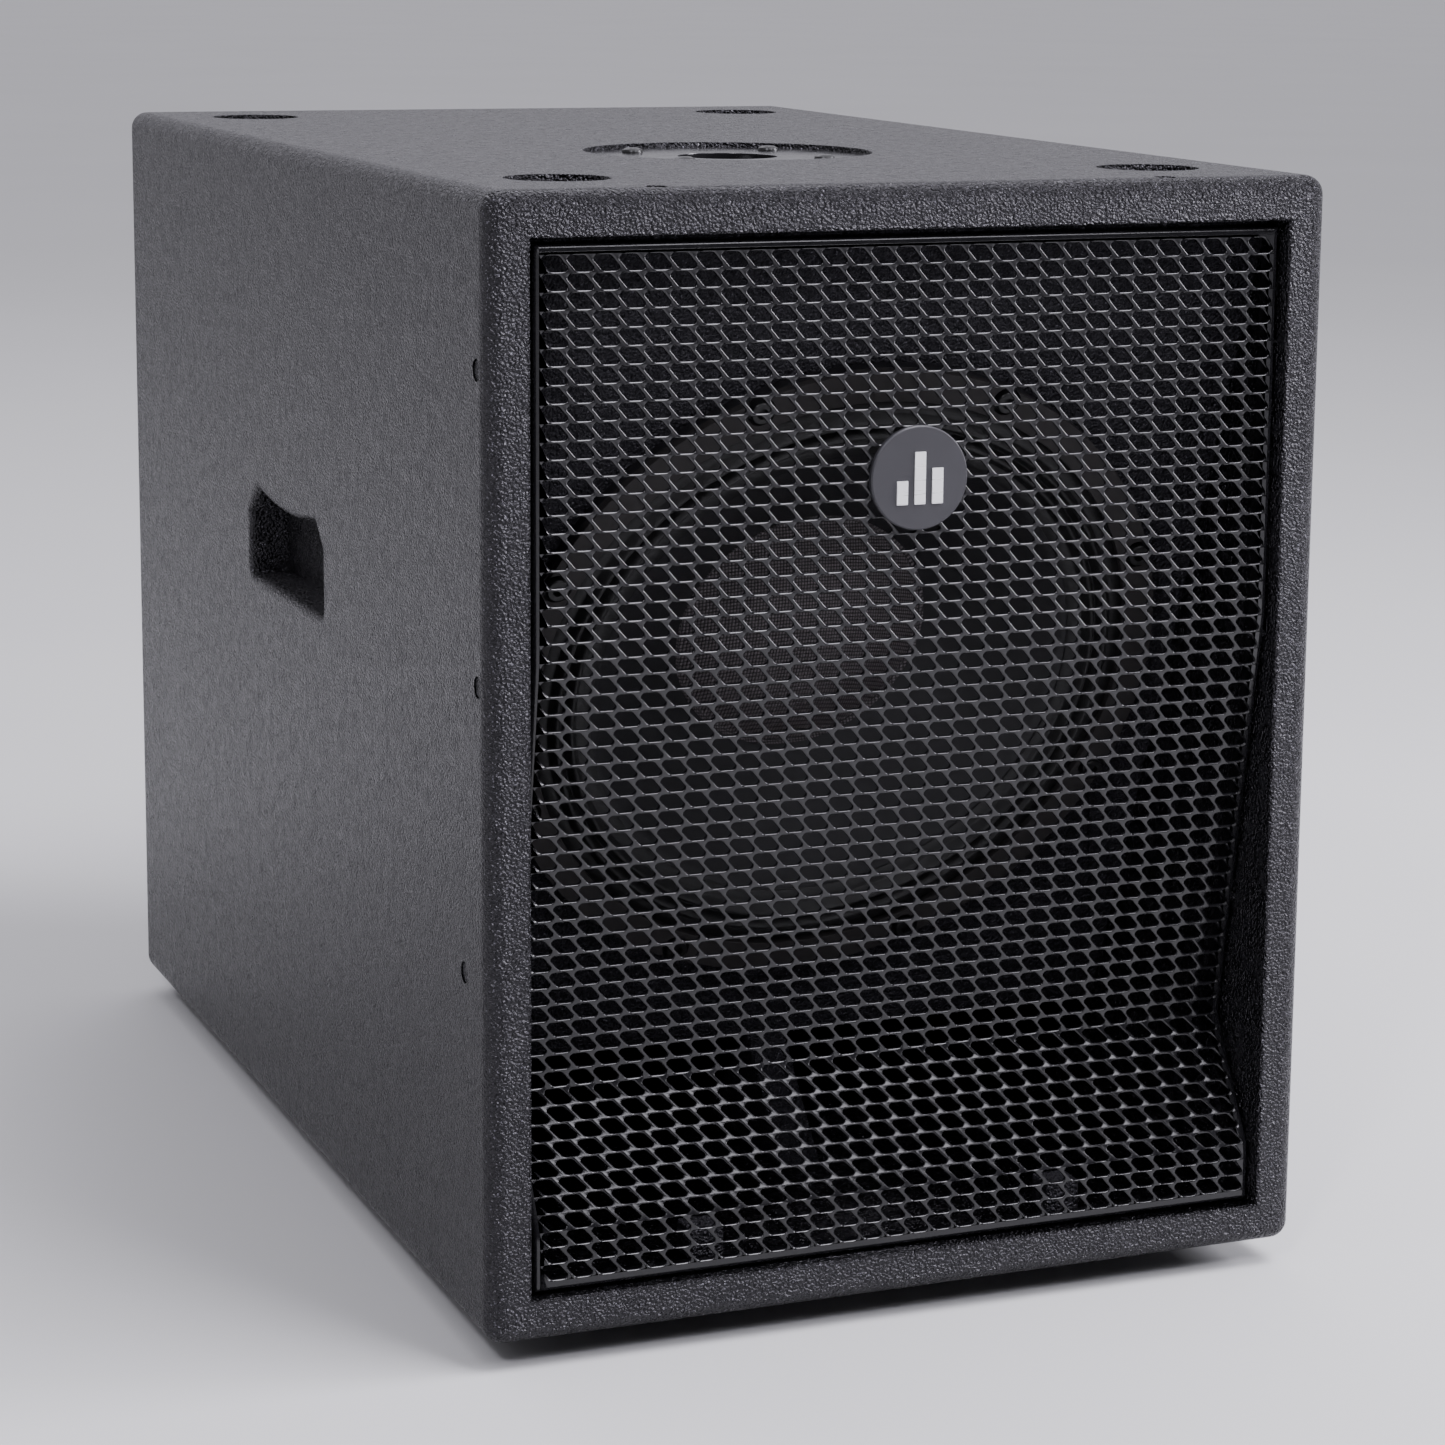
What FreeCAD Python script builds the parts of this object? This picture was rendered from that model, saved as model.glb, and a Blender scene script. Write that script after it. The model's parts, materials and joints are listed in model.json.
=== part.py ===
import FreeCAD, Part
import math
import os
import re

import Sketcher
from FreeCAD import Placement, Rotation, Vector

# A compact powered PA subwoofer: a plywood box with a tilted 12 inch woofer, a slot port under it,
# a bent perforated steel grille, a pole socket on top and an amplifier set into the back.
# Origin: middle of the underside, on the surface that the rubber feet stand on.
# The front looks towards -Y, +X is to the right when the front is looked at, +Z is up.

SIZES = [
    # plywood box, finished with the textured coat
    ("cab_width", 380),
    ("cab_depth", 622),
    ("cab_height", 478),
    ("panel", 19),
    ("edge_round", 8.5),
    ("foot_lift", 12),
    ("rear_recess", 30),
    ("rear_panel_thickness", 18),
    # tilted baffle and the slot port under it
    ("baffle_tilt", 20.6),
    ("baffle_thickness", 18),
    ("woofer_depth", 95),
    ("woofer_height", 255.7),
    ("shelf_under", 70),
    ("shelf_thickness", 18),
    ("shelf_rear", 500),
    ("divider_thickness", 19),
    ("divider_toe", 120),
    ("divider_rear", 480),
    ("brace_front", 430),
    ("brace_thickness", 18),
    ("brace_rim", 42),
    # 12 inch woofer, radii and heights from the front face of the baffle
    ("flange_radius", 154),
    ("flange_thickness", 5),
    ("flange_bore", 132),
    ("cutout_radius", 142),
    ("bolt_circle", 148.5),
    ("bolt_count", 8),
    ("bolt_radius", 3),
    ("gasket_inner", 139.5),
    ("gasket_thickness", 4),
    ("cone_radius", 119),
    ("cone_lip", 4.2),
    ("cone_neck", 41.5),
    ("cap_radius", 57),
    ("cap_rise", 16),
    ("coil_radius", 50),
    ("motor_radius", 80),
    ("motor_seat", 88),
    ("top_plate_thickness", 8),
    ("magnet_thickness", 24),
    ("yoke_thickness", 10),
    # grille
    ("grille_gap", 2.5),
    ("grille_set_back", 4.8),
    ("grille_sheet", 2),
    ("grille_return", 12),
    ("bend_upper", 287),
    ("bend_deep", 98.5),
    ("bend_deep_back", 34.9),
    ("bend_lower", 46.4),
    ("grille_foot", 20.3),
    ("hole_pitch", 11),
    ("hole_width", 13),
    ("hole_lean", 3.8),
    ("hole_height", 6.2),
    ("hole_columns", 30),
    ("badge_radius", 22),
    ("badge_thickness", 2.5),
    ("badge_height", 355.6),
    # top: pole socket and stacking cups
    ("pole_back", 222),
    ("pole_plate_radius", 66.5),
    ("pole_plate_thickness", 3),
    ("pole_plate_drop", 2.4),
    ("pole_screw_circle", 48.5),
    ("pole_bore", 18.2),
    ("pole_mouth", 23),
    ("socket_radius", 25),
    ("socket_length", 80),
    ("cup_radius", 22.5),
    ("cup_depth", 9),
    ("cup_x", 137),
    ("cup_y", 244),
    ("foot_radius", 19),
    # handle pockets in the sides
    ("handle_y", -3),
    ("handle_z", 287.5),
    ("handle_half", 64),
    ("handle_drop", 21.5),
    ("handle_depth", 52),
    ("pocket_wall", 9),
    # amplifier
    ("amp_centre", 275),
    ("amp_width", 260),
    ("amp_height", 320),
    ("amp_plate_thickness", 3),
    ("amp_gasket_thickness", 1.5),
    ("amp_box_width", 220),
    ("amp_box_height", 280),
    ("amp_box_depth", 98),
    ("amp_box_wall", 1.5),
    ("fin_count", 15),
    ("fin_height", 17.5),
]

doc = FreeCAD.newDocument("pa_speaker_cabinet")
sheet = doc.addObject("Spreadsheet::Sheet", "Sizes")
for row, (alias, value) in enumerate(SIZES, start=1):
    sheet.set("A%d" % row, alias)
    sheet.set("B%d" % row, str(value))
    sheet.setAlias("B%d" % row, alias)
doc.recompute()

ALIASES = {alias for alias, value in SIZES}
WORD = re.compile(r"[a-z]+(?:_[a-z]+)*")
NODES = []


def bind(text):
    """Turns 'panel + 2' into 'Sizes.panel + 2', the form that an expression needs."""
    return WORD.sub(lambda m: "Sizes." + m.group(0) if m.group(0) in ALIASES else m.group(0), str(text))


def size(text):
    """The number that a formula of the sheet's sizes gives."""
    return float(sheet.evalExpression(bind(text)))


def place(x="0", y="0", z="0", turn=None):
    """A placement at a point given by formulas."""
    return Placement(Vector(size(x), size(y), size(z)), turn or Rotation())


def keep(obj, label):
    """Marks an object as a finished piece, named as the real piece is."""
    obj.Label = label
    NODES.append(obj)
    return obj


# ---------------------------------------------------------------- helpers: sketched solids

def sketch_on(body, role):
    plane = [o for o in body.Origin.OriginFeatures if o.Role == role][0]
    sketch = body.newObject("Sketcher::SketchObject", "Sketch")
    sketch.AttachmentSupport = [(plane, "")]
    sketch.MapMode = "FlatFace"
    return sketch


def pin(sketch, kind, geometry, point, formula):
    index = sketch.addConstraint(Sketcher.Constraint(kind, -1, 1, geometry, point, size(formula)))
    sketch.setExpression("Constraints[%d]" % index, bind(formula))


def add_polygon(sketch, corners):
    """A closed outline whose corners are pairs of formulas."""
    points = [Vector(size(x), size(y), 0) for x, y in corners]
    first = sketch.GeometryCount
    count = len(points)
    for i in range(count):
        sketch.addGeometry(Part.LineSegment(points[i], points[(i + 1) % count]))
    for i in range(count):
        after = first + (i + 1) % count
        sketch.addConstraint(Sketcher.Constraint("Coincident", first + i, 2, after, 1))
    for i, (x, y) in enumerate(corners):
        pin(sketch, "DistanceX", first + i, 1, x)
        pin(sketch, "DistanceY", first + i, 1, y)


def add_circle(sketch, x, y, radius):
    index = sketch.addGeometry(Part.Circle(Vector(size(x), size(y), 0), Vector(0, 0, 1), size(radius)))
    pin(sketch, "DistanceX", index, 3, x)
    pin(sketch, "DistanceY", index, 3, y)
    bound = sketch.addConstraint(Sketcher.Constraint("Radius", index, size(radius)))
    sketch.setExpression("Constraints[%d]" % bound, bind(radius))


def rectangle(x, y, width, height):
    """Corners of a rectangle about a middle point."""
    left, right = "%s - (%s)/2" % (x, width), "%s + (%s)/2" % (x, width)
    low, high = "%s - (%s)/2" % (y, height), "%s + (%s)/2" % (y, height)
    return [(left, low), (right, low), (right, high), (left, high)]


def new_body(label, placement=None):
    body = doc.addObject("PartDesign::Body", label)
    if placement:
        body.Placement = placement
    return body


def pad(body, role, outlines=(), circles=(), length="1", offset="0", both=False):
    """Pads outlines and circles of one sketch; offset lifts the sketch off its plane."""
    sketch = sketch_on(body, role)
    for corners in outlines:
        add_polygon(sketch, corners)
    for x, y, radius in circles:
        add_circle(sketch, x, y, radius)
    sketch.setExpression("AttachmentOffset.Base.z", bind(offset))
    feature = body.newObject("PartDesign::Pad", "Pad")
    feature.Profile = sketch
    feature.setExpression("Length", bind(length))
    feature.SideType = "Symmetric" if both else "One side"
    sketch.Visibility = False
    return feature


def pocket(body, role, outlines=(), circles=(), length="1", offset="0", both=False, upward=False):
    """Cuts outlines and circles out of a body, and makes sure that the cut took something away."""
    doc.recompute()
    before = body.Shape.Volume
    sketch = sketch_on(body, role)
    for corners in outlines:
        add_polygon(sketch, corners)
    for x, y, radius in circles:
        add_circle(sketch, x, y, radius)
    sketch.setExpression("AttachmentOffset.Base.z", bind(offset))
    feature = body.newObject("PartDesign::Pocket", "Pocket")
    feature.Profile = sketch
    feature.setExpression("Length", bind(length))
    feature.SideType = "Symmetric" if both else "One side"
    feature.Reversed = upward
    sketch.Visibility = False
    doc.recompute()
    if body.Shape.Volume > before - 0.01:
        raise RuntimeError("a pocket in %s cut nothing" % body.Label)
    return feature


def turned(label, outline, placement=None):
    """A piece turned about the local Z axis from an outline of (radius, height) formulas."""
    body = new_body(label, placement)
    sketch = sketch_on(body, "XZ_Plane")
    add_polygon(sketch, outline)
    feature = body.newObject("PartDesign::Revolution", "Revolution")
    feature.Profile = sketch
    feature.ReferenceAxis = (sketch, ["V_Axis"])
    feature.Angle = 360
    return body


def cross_section_panel(label, corners, width):
    """A panel with the same (depth, height) outline all the way across the cabinet."""
    body = new_body(label, place(y="-cab_depth/2", z="foot_lift"))
    pad(body, "YZ_Plane", [corners], length=width, both=True)
    return body


# ---------------------------------------------------------------- helpers: primitives and cuts

def box(label, width, depth, height, x, y, z):
    """A block from its low corner; all sizes are formulas."""
    block = doc.addObject("Part::Box", label)
    block.setExpression("Length", bind(width))
    block.setExpression("Width", bind(depth))
    block.setExpression("Height", bind(height))
    for axis, formula in zip("xyz", (x, y, z)):
        block.setExpression("Placement.Base." + axis, bind(formula))
    return block


def rod(label, radius, height, placement):
    """A cylinder along the local Z axis of its placement."""
    cylinder = doc.addObject("Part::Cylinder", label)
    cylinder.setExpression("Radius", bind(radius))
    cylinder.setExpression("Height", bind(height))
    cylinder.Placement = placement
    return cylinder


def solid(label, shape):
    feature = doc.addObject("Part::Feature", label)
    feature.Shape = shape
    return feature


def gather(label, pieces):
    group = doc.addObject("Part::Compound", label)
    group.Links = pieces
    return group


def cut(label, base, tools):
    doc.recompute()
    feature = doc.addObject("Part::Cut", label)
    feature.Base = base
    feature.Tool = tools[0] if len(tools) == 1 else gather(label + "_tools", tools)
    before = base.Shape.Volume
    doc.recompute()
    if feature.Shape.Volume > before - 0.01:
        raise RuntimeError("a cut in %s took nothing away" % label)
    return feature


def common(label, first, second):
    feature = doc.addObject("Part::Common", label)
    feature.Base = first
    feature.Tool = second
    return feature


def turned_shape(points):
    """A solid turned about Z from (radius, height) numbers."""
    corners = [Vector(radius, 0, height) for radius, height in points]
    face = Part.Face(Part.makePolygon(corners + corners[:1]))
    return face.revolve(Vector(), Vector(0, 0, 1), 360)


def turned_copies(outline, placements):
    """Identical turned solids, one at each placement."""
    fastener = turned_shape(outline)
    copies = []
    for placement in placements:
        copy = fastener.copy()
        copy.Placement = placement
        copies.append(copy)
    return copies


def fastener_group(label, outline, placements):
    """Identical fasteners, kept as separate solids of one piece group."""
    return keep(solid(label, Part.makeCompound(turned_copies(outline, placements))), label)


# ---------------------------------------------------------------- frames of reference

TILT = size("baffle_tilt")
# driver frame: local Z leaves the baffle towards the listener, local Y climbs the baffle
DRIVER = place(y="woofer_depth - cab_depth/2", z="foot_lift + woofer_height",
               turn=Rotation(Vector(1, 0, 0), 90 + TILT))
# amplifier frame, as seen from behind: local X to the right, local Y up, local Z out of the back
REAR_FACE = "cab_depth/2 - rear_recess"
AMP = place(y=REAR_FACE, z="foot_lift + amp_centre",
            turn=Rotation(Vector(-1, 0, 0), Vector(0, 0, 1), Vector(0, 1, 0), "ZXY"))
DOWN = Rotation(Vector(1, 0, 0), 180)
TO_LEFT = Rotation(Vector(0, 1, 0), -90)
TO_RIGHT = Rotation(Vector(0, 1, 0), 90)


def on_driver(radius, degrees, height):
    angle = math.radians(degrees)
    return DRIVER.multiply(Placement(Vector(radius * math.cos(angle), radius * math.sin(angle), height),
                                     Rotation()))


def on_amp(x, y, height=0.0):
    return AMP.multiply(Placement(Vector(x, y, height), Rotation()))


# ---------------------------------------------------------------- where the fasteners go

BOLT_ANGLES = [22.5 + 45 * i for i in range(int(size("bolt_count")))]
BOLT_RADIUS = size("bolt_radius")
FRONT = size("-cab_depth/2")
BASE = size("foot_lift")
TOP = size("foot_lift + cab_height")
SIDE = size("cab_width/2")

GRILLE_SCREW_RADIUS = 2.0
GRILLE_SCREW_HEAD = 4.0
GRILLE_SCREW_LENGTH = 26.0
GRILLE_SCREW_SUNK = 0.6
SIDE_SCREWS = [(12.0, 406.3), (12.0, 277.7), (31.0, 153.9)]     # depth behind the front, height
CROSS_SCREWS = [(-115.0, 10.0), (115.0, 10.0)]                  # across, depth behind the front


def grille_screw_places():
    """Where each grille screw's head sits flush, and which way its tip points."""
    places = []
    for depth, height in SIDE_SCREWS:
        places.append(Placement(Vector(-SIDE, FRONT + depth, BASE + height), TO_RIGHT))
        places.append(Placement(Vector(SIDE, FRONT + depth, BASE + height), TO_LEFT))
    for across, depth in CROSS_SCREWS:
        places.append(Placement(Vector(across, FRONT + depth, TOP), DOWN))
        places.append(Placement(Vector(across, FRONT + depth, BASE), Rotation()))
    return places


def screw_hole_tools(label, places, depth):
    """Drills for the grille screws: a straight hole with a countersink at its mouth."""
    tools = []
    sink = GRILLE_SCREW_HEAD + 0.3
    for number, placement in enumerate(places):
        outline = [(0, -1), (sink, -1), (sink, GRILLE_SCREW_SUNK), (GRILLE_SCREW_RADIUS + 0.1, sink - 1.2),
                   (GRILLE_SCREW_RADIUS + 0.1, depth), (0, depth)]
        tool = solid("%s_%d" % (label, number), turned_shape(outline))
        tool.Placement = placement
        tools.append(tool)
    return tools


CORNERS = [(-1, -1), (1, -1), (1, 1), (-1, 1)]
FOOT_PLACES = [(sx * size("cup_x"), sy * size("cup_y")) for sx, sy in CORNERS]
POLE_Y = size("pole_back - cab_depth/2")
POLE_SCREWS = [(sx * size("pole_screw_circle") * math.sqrt(0.5),
                POLE_Y + sy * size("pole_screw_circle") * math.sqrt(0.5)) for sx, sy in CORNERS]
AMP_SCREWS = [(sx * 122.0, sy * h) for sx in (-1, 1) for sy in (-1, 1) for h in (50.0, 152.0)]
AMP_SCREW_RADIUS = 2.0
FOOT_SCREW_RADIUS = 2.5
FOOT_COUNTERBORE = 6.0


# ---------------------------------------------------------------- plywood box

def rounded_shell():
    block = box("shell_block", "cab_width", "cab_depth", "cab_height",
                "-cab_width/2", "-cab_depth/2", "foot_lift")
    doc.recompute()
    rounded = doc.addObject("Part::Fillet", "shell_rounded")
    rounded.Base = block
    radius = size("edge_round")
    rounded.Edges = [(number, radius, radius) for number in range(1, 13)]
    doc.recompute()
    return rounded


def handle_mouth(side):
    """The opening of a handle: flat floor, clipped upper corners, a lip that dips in the middle."""
    half, drop = size("handle_half"), size("handle_drop")
    corner, clip, dip = 5.0, 13.0, 5.0
    shoulder = drop - clip
    points = [Vector(0, half - corner, -drop), Vector(0, half, -drop + corner), Vector(0, half, shoulder),
              Vector(0, half - clip, drop), Vector(0, -half + clip, drop), Vector(0, -half, shoulder),
              Vector(0, -half, -drop + corner), Vector(0, -half + corner, -drop)]
    bulge = corner * (1 - math.sqrt(0.5))
    edges = [
        Part.Arc(points[0], Vector(0, half - bulge, -drop + bulge), points[1]).toShape(),
        Part.makeLine(points[1], points[2]),
        Part.makeLine(points[2], points[3]),
        Part.Arc(points[3], Vector(0, 0, drop - dip), points[4]).toShape(),
        Part.makeLine(points[4], points[5]),
        Part.makeLine(points[5], points[6]),
        Part.Arc(points[6], Vector(0, -half + bulge, -drop + bulge), points[7]).toShape(),
        Part.makeLine(points[7], points[0]),
    ]
    reach = size("panel") + 4
    mouth = Part.Face(Part.Wire(edges)).extrude(Vector(-side * reach, 0, 0))
    tool = solid("handle_mouth", mouth)
    tool.Placement = place("%d*(cab_width/2 + 2)" % side, "handle_y", "handle_z + foot_lift")
    return tool


def side_panel(label, shell, side):
    region = box(label + "_region", "panel", "cab_depth", "cab_height - 2*panel",
                 "-cab_width/2" if side < 0 else "cab_width/2 - panel", "-cab_depth/2", "foot_lift + panel")
    plain = common(label + "_plain", shell, region)
    screws = [p for p in grille_screw_places() if abs(p.Base.x - side * SIDE) < 1]
    tools = [handle_mouth(side)] + screw_hole_tools(label + "_drill", screws, size("panel") + 1)
    return keep(cut(label, plain, tools), label)


def top_panel(shell):
    region = box("top_region", "cab_width", "cab_depth", "panel",
                 "-cab_width/2", "-cab_depth/2", "foot_lift + cab_height - panel")
    plain = common("top_plain", shell, region)
    tools = [rod("cup_cut_%d" % i, "cup_radius", "cup_depth + 1", Placement(
             Vector(x, y, TOP - size("cup_depth")), Rotation())) for i, (x, y) in enumerate(FOOT_PLACES)]
    recess = size("pole_plate_drop + pole_plate_thickness")
    tools.append(rod("plate_recess", "pole_plate_radius + 0.5", "panel",
                     Placement(Vector(0, POLE_Y, TOP - recess), Rotation())))
    tools.append(rod("socket_hole", "socket_radius + 0.5", "2*panel",
                     Placement(Vector(0, POLE_Y, TOP - size("panel + 5")), Rotation())))
    for i, (x, y) in enumerate(POLE_SCREWS):
        tools.append(rod("pole_pilot_%d" % i, "2.6", "panel",
                         Placement(Vector(x, y, TOP - recess - 12), Rotation())))
    screws = [p for p in grille_screw_places() if abs(p.Base.z - TOP) < 1]
    tools += screw_hole_tools("top_drill", screws, size("panel") + 1)
    return keep(cut("top_panel", plain, tools), "top_panel")


def bottom_panel(shell):
    region = box("bottom_region", "cab_width", "cab_depth", "panel",
                 "-cab_width/2", "-cab_depth/2", "foot_lift")
    plain = common("bottom_plain", shell, region)
    tools = [rod("foot_pilot_%d" % i, "2.6", "14 + 1", Placement(Vector(x, y, BASE - 1), Rotation()))
             for i, (x, y) in enumerate(FOOT_PLACES)]
    screws = [p for p in grille_screw_places() if abs(p.Base.z - BASE) < 1]
    tools += screw_hole_tools("bottom_drill", screws, size("panel") + 1)
    return keep(cut("bottom_panel", plain, tools), "bottom_panel")


def rear_panel():
    body = new_body("rear_panel", AMP)
    middle = "foot_lift + cab_height/2 - (foot_lift + amp_centre)"
    pad(body, "XY_Plane", [rectangle("0", middle, "cab_width - 2*panel", "cab_height - 2*panel")],
        length="rear_panel_thickness", offset="-rear_panel_thickness")
    pocket(body, "XY_Plane", [rectangle("0", "0", "amp_box_width + 4", "amp_box_height + 4")],
           length="2*rear_panel_thickness", both=True)
    pocket(body, "XY_Plane", circles=[(str(x), str(y), "1.9") for x, y in AMP_SCREWS], length="14")
    return keep(body, "rear_panel")


def depth_at(height):
    """Formula for how far the front of the baffle lies behind the front rim at a height."""
    return "woofer_depth + (woofer_height - (%s))*tan(baffle_tilt * 1deg)" % height


BAFFLE_RUN = "baffle_thickness/cos(baffle_tilt * 1deg)"


def baffle():
    low, high = "shelf_under", "cab_height - panel"
    corners = [(depth_at(low), low), ("%s + %s" % (depth_at(low), BAFFLE_RUN), low),
               ("%s + %s" % (depth_at(high), BAFFLE_RUN), high), (depth_at(high), high)]
    plain = cross_section_panel("baffle_plain", corners, "cab_width - 2*panel")
    tools = [rod("woofer_cutout", "cutout_radius", "60", DRIVER.multiply(
             Placement(Vector(0, 0, -40), Rotation())))]
    for i, angle in enumerate(BOLT_ANGLES):
        tools.append(rod("tnut_hole_%d" % i, "bolt_radius + 1", "60", on_driver(
            size("bolt_circle"), angle, -40)))
    return keep(cut("baffle", plain, tools), "baffle")


def port_shelf():
    low, high = "shelf_under", "shelf_under + shelf_thickness"
    corners = [("%s + %s" % (depth_at(low), BAFFLE_RUN), low), ("shelf_rear", low), ("shelf_rear", high),
               ("%s + %s" % (depth_at(high), BAFFLE_RUN), high)]
    return keep(cross_section_panel("port_shelf", corners, "cab_width - 2*panel"), "port_shelf")


def port_divider():
    corners = [("divider_toe", "panel"), ("divider_rear", "panel"), ("divider_rear", "shelf_under"),
               (depth_at("shelf_under"), "shelf_under")]
    return keep(cross_section_panel("port_divider", corners, "divider_thickness"), "port_divider")


def brace_panel():
    """A window brace that ties the sides, the shelf and the top together."""
    body = new_body("brace_panel", place(y="brace_front - cab_depth/2", z="foot_lift"))
    low, high = "shelf_under + shelf_thickness", "cab_height - panel"
    middle, tall = "(%s + %s)/2" % (low, high), "(%s - (%s))" % (high, low)
    wide = "cab_width - 2*panel"
    pad(body, "XZ_Plane", [rectangle("0", middle, wide, tall)], length="brace_thickness",
        offset="-brace_thickness")
    pocket(body, "XZ_Plane", [rectangle("0", middle, wide + " - 2*brace_rim", tall + " - 2*brace_rim")],
           length="4*brace_thickness", both=True)
    return keep(body, "brace_panel")


def handle_pocket(label, side):
    """A five-walled box behind the handle's mouth, open towards the side panel."""
    cavity_long, floor_drop, roof_rise = "2*handle_half + 6", "handle_drop + 1.5", "handle_drop + 14"
    tall = "(%s + %s)" % (floor_drop, roof_rise)
    middle = "(%s - (%s))/2" % (roof_rise, floor_drop)
    body = new_body(label, Placement(Vector(side * size("cab_width/2 - panel"), size("handle_y"),
                                            size("handle_z + foot_lift")), Rotation()))
    away = "-(handle_depth + pocket_wall)" if side > 0 else "0"
    pad(body, "YZ_Plane", [rectangle("0", middle, cavity_long + " + 2*pocket_wall",
                                     tall + " + 2*pocket_wall")],
        length="handle_depth + pocket_wall", offset=away)
    start = "-handle_depth" if side > 0 else "0"
    pocket(body, "YZ_Plane", [rectangle("0", middle, cavity_long, tall)],
           length="handle_depth", offset=start, upward=True)
    return keep(body, label)


def slot_blocks():
    """Two short posts on the slot's floor that the foot of the grille bears against."""
    posts = []
    for name, across in (("left", "-93"), ("right", "77")):
        posts.append(box("slot_block_" + name, "16", "16", "14", across, "-cab_depth/2 + 22",
                         "foot_lift + panel"))
    return keep(gather("grille_support_blocks", posts), "grille_support_blocks")


# ---------------------------------------------------------------- grille

def perforated_plate(start, end, rows, lead, tail):
    """One flat stretch of the grille, from start to end as (depth, height) of its outer face.

    The openings lean: each is a parallelogram, in straight columns. lead and tail are the plain
    margins before the first and after the last row.
    """
    run = Vector(0, end[0] - start[0], end[1] - start[1])
    length = run.Length
    along = run.normalize()
    across = Vector(1, 0, 0)
    half = size("cab_width/2 - panel - grille_gap")
    origin = Vector(0, start[0], start[1])

    def at(x, distance):
        return origin + across * x + along * distance

    outline = [at(-half, 0), at(half, 0), at(half, length), at(-half, length)]
    wires = [Part.makePolygon(outline + outline[:1])]
    pitch = (length - lead - tail) / rows
    columns = int(size("hole_columns"))
    step = size("hole_pitch")
    reach, lean = size("hole_width")/2, size("hole_lean")
    tall = size("hole_height")/2
    # seen from the front: the upper edge of an opening lies to the left of its lower edge
    shape = [(-reach, -tall), (lean - reach, tall), (reach, tall), (reach - lean, -tall)]
    for row in range(rows):
        distance = lead + (row + 0.5) * pitch
        for column in range(columns):
            x = (column - (columns - 1)/2) * step
            hole = [at(x + dx, distance + dz) for dx, dz in shape]
            wires.append(Part.makePolygon(hole + hole[:1]))
    inward = across.cross(along).normalize() * size("grille_sheet")
    if inward.y < 0:
        inward = inward * -1
    return Part.Face(wires).extrude(inward)


def grille_profile():
    """Outer face of the grille as (depth, height) corners, from its head down to its foot."""
    front = size("grille_set_back")
    return [(front, size("cab_height - panel - grille_gap")), (front, size("bend_upper")),
            (size("bend_deep_back"), size("bend_deep")), (front, size("bend_lower")),
            (front, size("grille_foot"))]


def offset_corner(before, corner, after, distance):
    """The point a sheet's thickness behind a bend, on its mitre."""
    def normal(p, q):
        run = Vector(0, q[0] - p[0], q[1] - p[1]).normalize()
        side = Vector(0, -run.z, run.y)
        return side if side.y > 0 else side * -1
    first, second = normal(before, corner), normal(corner, after)
    mitre = (first + second).normalize()
    scale = distance / mitre.dot(first)
    return (corner[0] + mitre.y * scale, corner[1] + mitre.z * scale)


def strip(corners, low_x, high_x):
    points = [Vector(low_x, depth, height) for depth, height in corners]
    return Part.Face(Part.makePolygon(points + points[:1])).extrude(Vector(high_x - low_x, 0, 0))


def step_from(corner, towards, distance):
    run = Vector(0, towards[0] - corner[0], towards[1] - corner[1]).normalize() * distance
    return (corner[0] + run.y, corner[1] + run.z)


def grille():
    corners = grille_profile()
    sheet_thickness = size("grille_sheet")
    half = size("cab_width/2 - panel - grille_gap")
    fold = 1.0
    head_margin, foot_margin = 2.8, 3.2
    rows = [22, 25, 8, 3]
    solids = []
    for i, count in enumerate(rows):
        start = corners[i] if i == 0 else step_from(corners[i], corners[i + 1], fold)
        last = i == len(rows) - 1
        end = corners[i + 1] if last else step_from(corners[i + 1], corners[i], fold)
        lead = head_margin if i == 0 else 0.2
        solids.append(perforated_plate(start, end, count, lead, foot_margin if last else 0.2))
    for i in (1, 2, 3):
        before, after = step_from(corners[i], corners[i - 1], fold), step_from(corners[i], corners[i + 1], fold)
        inner = offset_corner(corners[i - 1], corners[i], corners[i + 1], sheet_thickness)
        behind_before = offset_corner(corners[i - 1], before, corners[i], sheet_thickness)
        behind_after = offset_corner(corners[i], after, corners[i + 1], sheet_thickness)
        solids.append(strip([corners[i], after, behind_after, inner, behind_before, before], -half, half))
    back = size("grille_return")
    flange = corners + [(depth + back, height) for depth, height in reversed(corners)]
    solids.append(strip(flange, -half, -half + sheet_thickness))
    solids.append(strip(flange, half - sheet_thickness, half))
    head, foot = corners[0], corners[-1]
    solids.append(strip([head, (head[0] + back, head[1]), (head[0] + back, head[1] - sheet_thickness),
                         (head[0], head[1] - sheet_thickness)], -half, half))
    solids.append(strip([foot, (foot[0] + back, foot[1]), (foot[0] + back, foot[1] + sheet_thickness),
                         (foot[0], foot[1] + sheet_thickness)], -half, half))
    joined = solids[0].multiFuse(solids[1:])
    joined.translate(Vector(0, FRONT, BASE))
    drills = []
    for placement in grille_screw_places():
        drill = Part.makeCylinder(GRILLE_SCREW_RADIUS + 0.1, GRILLE_SCREW_LENGTH + 4)
        drill.Placement = placement
        drills.append(drill)
    drilled = joined.cut(Part.makeCompound(drills))
    return keep(solid("grille", drilled.Solids[0] if len(drilled.Solids) == 1 else drilled), "grille")


def grille_screws():
    head, shank, sunk = GRILLE_SCREW_HEAD, GRILLE_SCREW_RADIUS, GRILLE_SCREW_SUNK
    outline = [(0, sunk), (head, sunk), (shank, sunk + head - shank), (shank, GRILLE_SCREW_LENGTH),
               (0, GRILLE_SCREW_LENGTH)]
    return fastener_group("grille_screws", outline, grille_screw_places())


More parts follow.
